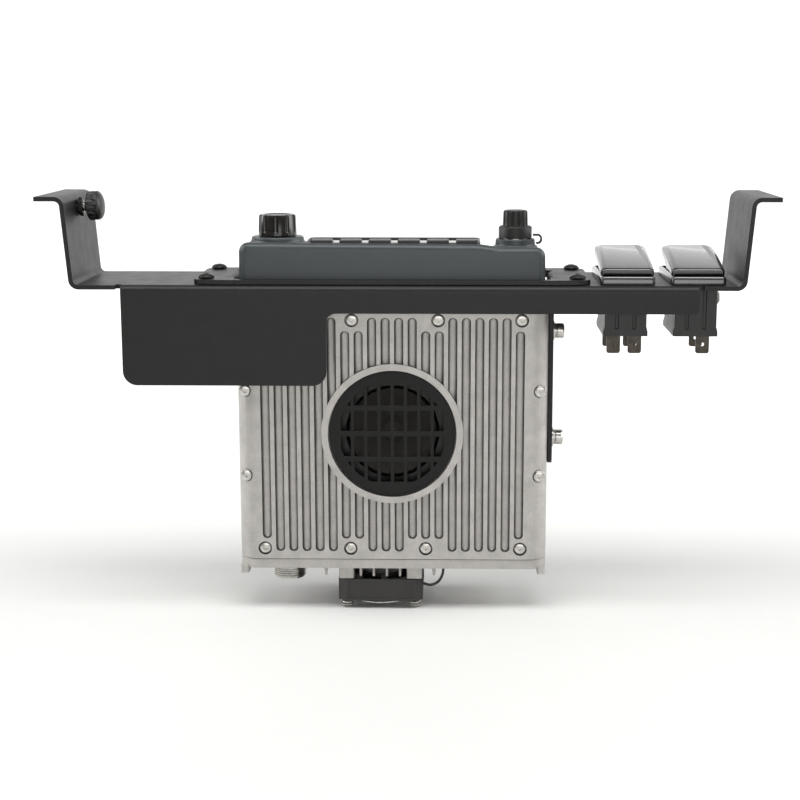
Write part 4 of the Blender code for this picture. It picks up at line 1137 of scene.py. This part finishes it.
def make_switches(sizes):
    """Snap-in rocker switches: a base with blades below the plate, a rim on it and a tilting cap."""
    columns = {1: (-0.0047, 0.0051), 2: (0.0045,)}
    for number in (1, 2):
        base_low, base_high = near(f"switch_base_{number}", PLATE)
        centre = (base_low + base_high) / 2
        at = PLATE + Vector((centre.x, centre.y, 0))
        wide = (base_high.x - base_low.x) / 2
        long = (base_high.y - base_low.y) / 2
        narrow = wide - 0.0006
        bottom = -0.0244
        shape = [(-narrow, 0.0001), (-narrow, -0.02), (-wide, -0.0222), (-wide, bottom)]
        base = prism([*shape, *[(-x, z) for x, z in shape[::-1]]], -long, long, "Y")
        grooves = [block((x - 0.0007, x + 0.0007), (-long - 0.001, -long + 0.0005), (-0.021, -0.003)) for x in (-0.004, 0.004)]
        slots = [block((column - 0.0036, column + 0.0036), (y - 0.0009, y + 0.0009), (bottom - 0.001, bottom + 0.0006)) for column in columns[number] for y in (-0.0105, 0.0105)]
        base = cut(base, gathered(grooves + slots))
        show(f"switch_body_{number}", base, "black_moulding", "root", [f"switch_base_{number}"], at, 0.0003)
        blades = []
        for column in columns[number]:
            for y in (-0.0105, 0.0105):
                foot = base_low.z
                outline = rounded(
                    [
                        (column - 0.00315, bottom + 0.0016, 0),
                        (column - 0.00315, foot, 0.0011),
                        (column + 0.00315, foot, 0.0011),
                        (column + 0.00315, bottom + 0.0016, 0),
                    ],
                    3,
                )
                blade = prism(outline, y - 0.0004, y + 0.0004, "Y")
                eye = prism(circle(0.0009, 16, (column, foot + 0.0042)), y - 0.002, y + 0.002, "Y")
                blades.append(cut(blade, eye))
        show(f"push_on_blades_{number}", gathered(blades), "tinned", "root", (), at, 0.00012)
        low, high = near(f"switch_bezel_{number}", PLATE)
        half_x, half_y = (high.x - low.x) / 2, (high.y - low.y) / 2
        inset = 0.0009
        levels = [
            (rectangle(-half_x, -half_y, half_x, half_y, 0.0016, 6), low.z),
            (rectangle(-half_x, -half_y, half_x, half_y, 0.0016, 6), high.z - 0.0012),
            (rectangle(-half_x + 0.0003, -half_y + 0.0003, half_x - 0.0003, half_y - 0.0003, 0.0014, 6), high.z - 0.0005),
            (rectangle(-half_x + inset, -half_y + inset, half_x - inset, half_y - inset, 0.0012, 6), high.z),
        ]
        rim = cut(stacked(levels), prism(rectangle(-0.0108, -0.0227, 0.0108, 0.0227), -0.001, 0.006))
        show(f"switch_rim_{number}", rim, "rocker", "root", [f"switch_bezel_{number}"], at, 0.0002)
        make_rocker(number, at)
    spring = [(0.0096, -0.0035), (0.0111, -0.0048), (0.0113, -0.0085), (0.0105, -0.0098)]
    low, high = near("switch_base_2", PLATE)
    at = PLATE + Vector(((low.x + high.x) / 2, (low.y + high.y) / 2, 0))
    clip = prism(strip(spring, 0.0005, 0.0008, 4), -0.0135, -0.0075, "Y")
    show("snap_spring", clip, "nickel", "root", (), at, 0.0001)


def make_rocker(number, at):
    """A crowned cap with pillowed edges over a narrower skirt, tilted to its pressed end."""
    half, wide, foot, brim = 0.0214, 0.012, 0.0046, 0.0082
    pivot, tilt, crown, pillow = 0.0026, math.radians(10), 0.0016, 0.0026
    levels = [(rocker_outline(half, wide, 0.0003, 0), foot), (rocker_outline(half, wide, 0.0, 0), foot + 0.0003)]
    for t in quarter(8):
        inset = pillow * (1 - math.cos(t))
        levels.append((rocker_outline(half, wide, inset, crown * math.sin(t)), brim - 0.001 + 0.001 * math.sin(t)))
    rings = []
    for outline, height in levels:
        lift = crown if height > brim - 0.001 else 0
        share = (height - brim + 0.001) / 0.001
        rings.append([(x, y, height + lift * share * (1 - (y / half) ** 2)) for x, y in outline])
    cap = skin(rings)
    skirt = [(-half, 0.0021), (0, -0.0017), (half, 0.0021), (half - 0.0002, 0.006), (-half + 0.0002, 0.006)]
    mesh = joined(cap, prism(skirt, -0.0105, 0.0105, "X"))
    node = f"rocker_{number}"
    lifted = at + Vector((0, 0, pivot))
    show(f"rocker_cap_{number}", moved(mesh, turn=tilt, axis="X"), "rocker", node, [node], lifted)


def rocker_outline(half, wide, inset, rise):
    """A rocker cap from above, with points all along its long sides: well rounded at its raised end."""
    pressed, raised = 0.0014, 0.0042
    across, along = wide - inset, half - inset * 0.5
    corners = [(-across, -along, pressed), (across, -along, pressed), (across, along, raised), (-across, along, raised)]
    outline = rounded(corners, 7)
    points = []
    for i, here in enumerate(outline):
        before = outline[i - 1]
        count = max(1, round(math.dist(before, here) / 0.002))
        steps = 14 if count > 12 else 1
        points += [(before[0] + (here[0] - before[0]) * k / steps, before[1] + (here[1] - before[1]) * k / steps) for k in range(1, steps + 1)]
    return points


# Stage.


def area_light(name, place, target, size, power, colour):
    """A soft box that faces a point."""
    lamp = bpy.data.lights.new(name, "AREA")
    lamp.shape = "RECTANGLE"
    lamp.size, lamp.size_y = size
    lamp.energy = power
    lamp.color = linear(colour)[:3]
    obj = bpy.data.objects.new(name, lamp)
    obj.location = place
    obj.rotation_euler = (Vector(target) - Vector(place)).to_track_quat("-Z", "Y").to_euler()
    bpy.context.scene.collection.objects.link(obj)


def make_stage(stage):
    """A pale floor that curves up far away, soft lights, a white surround and the camera."""
    low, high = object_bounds()
    centre = (low + high) / 2
    floor_z = low.z - 0.0006
    rim = [(0.0, floor_z), (2.2, floor_z)]
    rim += [(2.2 + 1.2 * math.sin(t), floor_z + 1.2 * (1 - math.cos(t))) for t in quarter(10)[1:]]
    bm = bmesh.new()
    sides = 96
    rows = [[bm.verts.new((u, v, z)) for u, v in circle(radius, sides)] for radius, z in rim[1:]]
    middle = bm.verts.new((0, 0, floor_z))
    for i in range(sides):
        bm.faces.new((middle, rows[0][i - 1], rows[0][i]))
        for inner, outer in zip(rows, rows[1:]):
            bm.faces.new((inner[i - 1], outer[i - 1], outer[i], inner[i]))
    bmesh.ops.recalc_face_normals(bm, faces=bm.faces)
    mesh = bpy.data.meshes.new("studio_floor")
    bm.to_mesh(mesh)
    bm.free()
    mesh.materials.append(FINISHES["white_floor"])
    mesh.shade_smooth()
    floor = bpy.data.objects.new("studio_floor", mesh)
    bpy.context.scene.collection.objects.link(floor)
    floor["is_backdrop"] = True

    world = bpy.data.worlds.new("white_surround")
    world.use_nodes = True
    world.node_tree.nodes.clear()
    background = add(world.node_tree, "ShaderNodeBackground", {"Color": linear("#ffffff"), "Strength": stage.surround})
    add(world.node_tree, "ShaderNodeOutputWorld", {}, {"Surface": background.outputs["Background"]})
    bpy.context.scene.world = world

    area_light("soft_box_above", (0.0, -0.42, 1.1), centre, (1.5, 0.6), stage.above, "#ffffff")
    area_light("soft_box_back", (0.0, 1.7, 1.0), centre, (2.4, 1.1), stage.back, "#ffffff")
    area_light("soft_box_left", (-1.3, 0.05, 0.45), centre, (0.9, 1.0), stage.left, "#ffffff")
    area_light("soft_box_right", (1.3, 0.05, 0.45), centre, (0.9, 1.0), stage.right, "#ffffff")
    area_light("soft_box_front", (0.1, -1.25, 0.1), (0.0, 0.0, -0.12), (1.0, 0.35), stage.front, "#ffffff")

    lens = bpy.data.cameras.new("product_camera")
    lens.sensor_width = 36.0
    lens.lens = stage.lens
    lens.shift_x = stage.shift
    lens.clip_start = 0.05
    camera = bpy.data.objects.new("product_camera", lens)
    camera.location = PLATE + Vector((stage.camera_x, -stage.distance, stage.camera_height))
    camera.rotation_euler = (math.radians(90) - stage.pitch, 0, stage.yaw)
    bpy.context.scene.collection.objects.link(camera)
    bpy.context.scene.camera = camera
    bpy.context.scene.view_settings.view_transform = "Standard"
    bpy.context.scene.view_settings.look = "None"


# Settings that a user would change.


def length(name, description, default):
    """A length property, in metres."""
    return bpy.props.FloatProperty(
        name=name, description=description, default=default, unit="LENGTH", precision=4, min=0.0001
    )


def colour(name, description, default):
    """A colour property whose default is an sRGB hex value."""
    return bpy.props.FloatVectorProperty(
        name=name, description=description, default=linear(default), subtype="COLOR", size=4, min=0, max=1
    )


class TransceiverSizes(bpy.types.PropertyGroup):
    sheet: length("Sheet", "Thickness of the bracket's steel", 0.002)
    web_foot: length("Web foot", "From the middle to each web, where it leaves the plate", 0.152)
    web_head: length("Web head", "From the middle to each web, where it meets its flange", 0.1552)
    bend: length("Bend", "Radius of each bend, at the middle of the sheet", 0.0035)
    grooves: bpy.props.IntProperty(name="Grooves", description="How many grooves the cover has", default=20, min=8)
    groove_pitch: length("Groove pitch", "From one groove of the cover to the next", 0.0062)
    groove_width: length("Groove width", "Width of each groove at its mouth", 0.0042)
    groove_depth: length("Groove depth", "Depth of each groove", 0.0026)
    slot_width: length("Slot width", "Width of a slot in the grille", 0.00445)
    slot_height: length("Slot height", "Height of a slot in the grille", 0.0095)
    key_width: length("Key width", "Width of a key on the panel", 0.0102)
    key_depth: length("Key depth", "Depth of a key on the panel", 0.008)
    knob_flutes: bpy.props.IntProperty(name="Flutes", description="Flutes round the volume knob", default=10, min=3)
    cap_ribs: bpy.props.IntProperty(name="Ribs", description="Ribs round the socket cap's grip", default=14, min=3)
    thread_pitch: length("Thread pitch", "Pitch of the antenna socket's thread", 0.00106)
    fan_hole: length("Fan hole", "From the fan's middle to a mounting hole, along each side", 0.016)


class TransceiverLooks(bpy.types.PropertyGroup):
    coat_dark: colour("Coat, dark", "Darker patches of the powder coat", "#151515")
    coat_light: colour("Coat, light", "Lighter patches of the powder coat", "#1c1b1b")
    backdrop: bpy.props.FloatProperty(name="Backdrop", description="How strongly the backdrop glows", default=0.75, min=0)
    casting_dark: colour("Casting, dark", "Darker patches of the cast aluminium", "#a09d99")
    casting_light: colour("Casting, light", "Lighter patches of the cast aluminium", "#bab7b3")
    panel_dark: colour("Panel, dark", "Darker patches of the moulded panel", "#2e3335")
    panel_light: colour("Panel, light", "Lighter patches of the moulded panel", "#363c3e")


class TransceiverStage(bpy.types.PropertyGroup):
    lens: bpy.props.FloatProperty(
        name="Lens", description="Focal length", default=71.3, min=10, subtype="DISTANCE_CAMERA"
    )
    distance: length("Distance", "From the camera to the plate's front edge", 0.711)
    camera_height: length("Camera height", "Height of the camera above the plate", 0.0846)
    camera_x: bpy.props.FloatProperty(
        name="Camera, across", description="The camera's place across the plate", default=0.0215, unit="LENGTH"
    )
    pitch: bpy.props.FloatProperty(
        name="Pitch", description="How far the camera looks down", default=math.radians(10.9), subtype="ANGLE"
    )
    yaw: bpy.props.FloatProperty(
        name="Yaw", description="How far the camera turns to the left", default=math.radians(1.1), subtype="ANGLE"
    )
    shift: bpy.props.FloatProperty(
        name="Shift", description="Sideways shift of the frame, as a share of its width", default=-0.03
    )
    back: bpy.props.FloatProperty(
        name="Soft box, back", description="Power of the light behind, which the tops mirror", default=8, min=0, subtype="POWER"
    )
    front: bpy.props.FloatProperty(
        name="Soft box, front", description="Power of the low light in front", default=3, min=0, subtype="POWER"
    )
    surround: bpy.props.FloatProperty(name="Surround", description="Strength of the white surround", default=0.22, min=0)
    above: bpy.props.FloatProperty(
        name="Soft box above", description="Power of the light overhead", default=16, min=0, subtype="POWER"
    )
    left: bpy.props.FloatProperty(
        name="Soft box, left", description="Power of the light on the left", default=15, min=0, subtype="POWER"
    )
    right: bpy.props.FloatProperty(
        name="Soft box, right", description="Power of the light on the right", default=15, min=0, subtype="POWER"
    )


# Operators, in the order that main() calls them.


class MakeFinishes(bpy.types.Operator):
    """Make every finish."""

    bl_idname = "transceiver.finishes"
    bl_label = "Finishes"

    def execute(self, context):
        make_finishes()
        return {"FINISHED"}


class MakeBracket(bpy.types.Operator):
    """Make the bent sheet bracket."""

    bl_idname = "transceiver.bracket"
    bl_label = "Bracket"

    def execute(self, context):
        make_bracket(context.scene.transceiver_sizes)
        return {"FINISHED"}


class MakeInsert(bpy.types.Operator):
    """Make the insert plate that carries the radio."""

    bl_idname = "transceiver.insert"
    bl_label = "Insert plate"

    def execute(self, context):
        make_insert(context.scene.transceiver_sizes)
        return {"FINISHED"}


class MakeFasteners(bpy.types.Operator):
    """Make the insert plate's screws and the side bolts."""

    bl_idname = "transceiver.fasteners"
    bl_label = "Screws and side bolts"

    def execute(self, context):
        make_insert_screws(context.scene.transceiver_sizes)
        make_side_bolts(context.scene.transceiver_sizes)
        return {"FINISHED"}


class MakeThumbScrew(bpy.types.Operator):
    """Make the thumb screw, its knob and its lock nut."""

    bl_idname = "transceiver.thumb_screw"
    bl_label = "Thumb screw"

    def execute(self, context):
        make_thumb_screw(context.scene.transceiver_sizes)
        return {"FINISHED"}


class MakeChassis(bpy.types.Operator):
    """Make the cast chassis and give the boards their finish."""

    bl_idname = "transceiver.chassis"
    bl_label = "Chassis and boards"

    def execute(self, context):
        make_chassis(context.scene.transceiver_sizes)
        make_boards(context.scene.transceiver_sizes)
        return {"FINISHED"}


class MakeCover(bpy.types.Operator):
    """Make the ribbed cover and its screws."""

    bl_idname = "transceiver.cover"
    bl_label = "Cover and screws"

    def execute(self, context):
        make_cover(context.scene.transceiver_sizes)
        make_cover_screws(context.scene.transceiver_sizes)
        return {"FINISHED"}


class MakeSpeaker(bpy.types.Operator):
    """Make the loudspeaker's grille."""

    bl_idname = "transceiver.speaker"
    bl_label = "Loudspeaker"

    def execute(self, context):
        make_speaker(context.scene.transceiver_sizes)
        return {"FINISHED"}


class MakeFrontPanel(bpy.types.Operator):
    """Make the moulded front panel, its window and its keys."""

    bl_idname = "transceiver.front_panel"
    bl_label = "Front panel, window and keys"

    def execute(self, context):
        make_bezel(context.scene.transceiver_sizes)
        make_keys(context.scene.transceiver_sizes)
        return {"FINISHED"}


class MakeVolumeKnob(bpy.types.Operator):
    """Make the fluted volume knob."""

    bl_idname = "transceiver.volume_knob"
    bl_label = "Volume knob"

    def execute(self, context):
        make_volume_knob(context.scene.transceiver_sizes)
        return {"FINISHED"}


class MakeSockets(bpy.types.Operator):
    """Make the microphone socket with its cap, and the antenna socket."""

    bl_idname = "transceiver.sockets"
    bl_label = "Sockets"

    def execute(self, context):
        make_microphone_socket(context.scene.transceiver_sizes)
        make_antenna_socket(context.scene.transceiver_sizes)
        return {"FINISHED"}


class MakeFan(bpy.types.Operator):
    """Make the fan with its guard, screws and lead."""

    bl_idname = "transceiver.fan"
    bl_label = "Fan"

    def execute(self, context):
        make_fan(context.scene.transceiver_sizes)
        make_fan_guard(context.scene.transceiver_sizes)
        make_fan_lead(context.scene.transceiver_sizes)
        return {"FINISHED"}


class MakeSwitches(bpy.types.Operator):
    """Make both rocker switches."""

    bl_idname = "transceiver.switches"
    bl_label = "Rocker switches"

    def execute(self, context):
        make_switches(context.scene.transceiver_sizes)
        return {"FINISHED"}


class MakeStage(bpy.types.Operator):
    """Make the floor, the lights and the camera."""

    bl_idname = "transceiver.stage"
    bl_label = "Stage"

    def execute(self, context):
        make_stage(context.scene.transceiver_stage)
        return {"FINISHED"}


OPERATORS = (
    MakeFinishes,
    MakeBracket,
    MakeInsert,
    MakeFasteners,
    MakeThumbScrew,
    MakeChassis,
    MakeCover,
    MakeSpeaker,
    MakeFrontPanel,
    MakeVolumeKnob,
    MakeSockets,
    MakeFan,
    MakeSwitches,
    MakeStage,
)


class TransceiverPanel(bpy.types.Panel):
    """Lists the pieces of the transceiver."""

    bl_idname = "VIEW3D_PT_transceiver"
    bl_label = "Mobile Transceiver"
    bl_space_type = "VIEW_3D"
    bl_region_type = "UI"
    bl_category = "Transceiver"

    def draw(self, context):
        for operator in OPERATORS:
            self.layout.operator(operator.bl_idname)


SETTINGS = {
    "transceiver_sizes": TransceiverSizes,
    "transceiver_looks": TransceiverLooks,
    "transceiver_stage": TransceiverStage,
}


def register():
    for kind in (*SETTINGS.values(), *OPERATORS, TransceiverPanel):
        bpy.utils.register_class(kind)
    for name, kind in SETTINGS.items():
        setattr(bpy.types.Scene, name, bpy.props.PointerProperty(type=kind))


def unregister():
    for name in SETTINGS:
        delattr(bpy.types.Scene, name)
    for kind in (TransceiverPanel, *reversed(OPERATORS), *reversed(SETTINGS.values())):
        bpy.utils.unregister_class(kind)


def main():
    register()
    for operator in OPERATORS:
        group, name = operator.bl_idname.split(".")
        getattr(getattr(bpy.ops, group), name)()


if __name__ == "__main__":
    main()
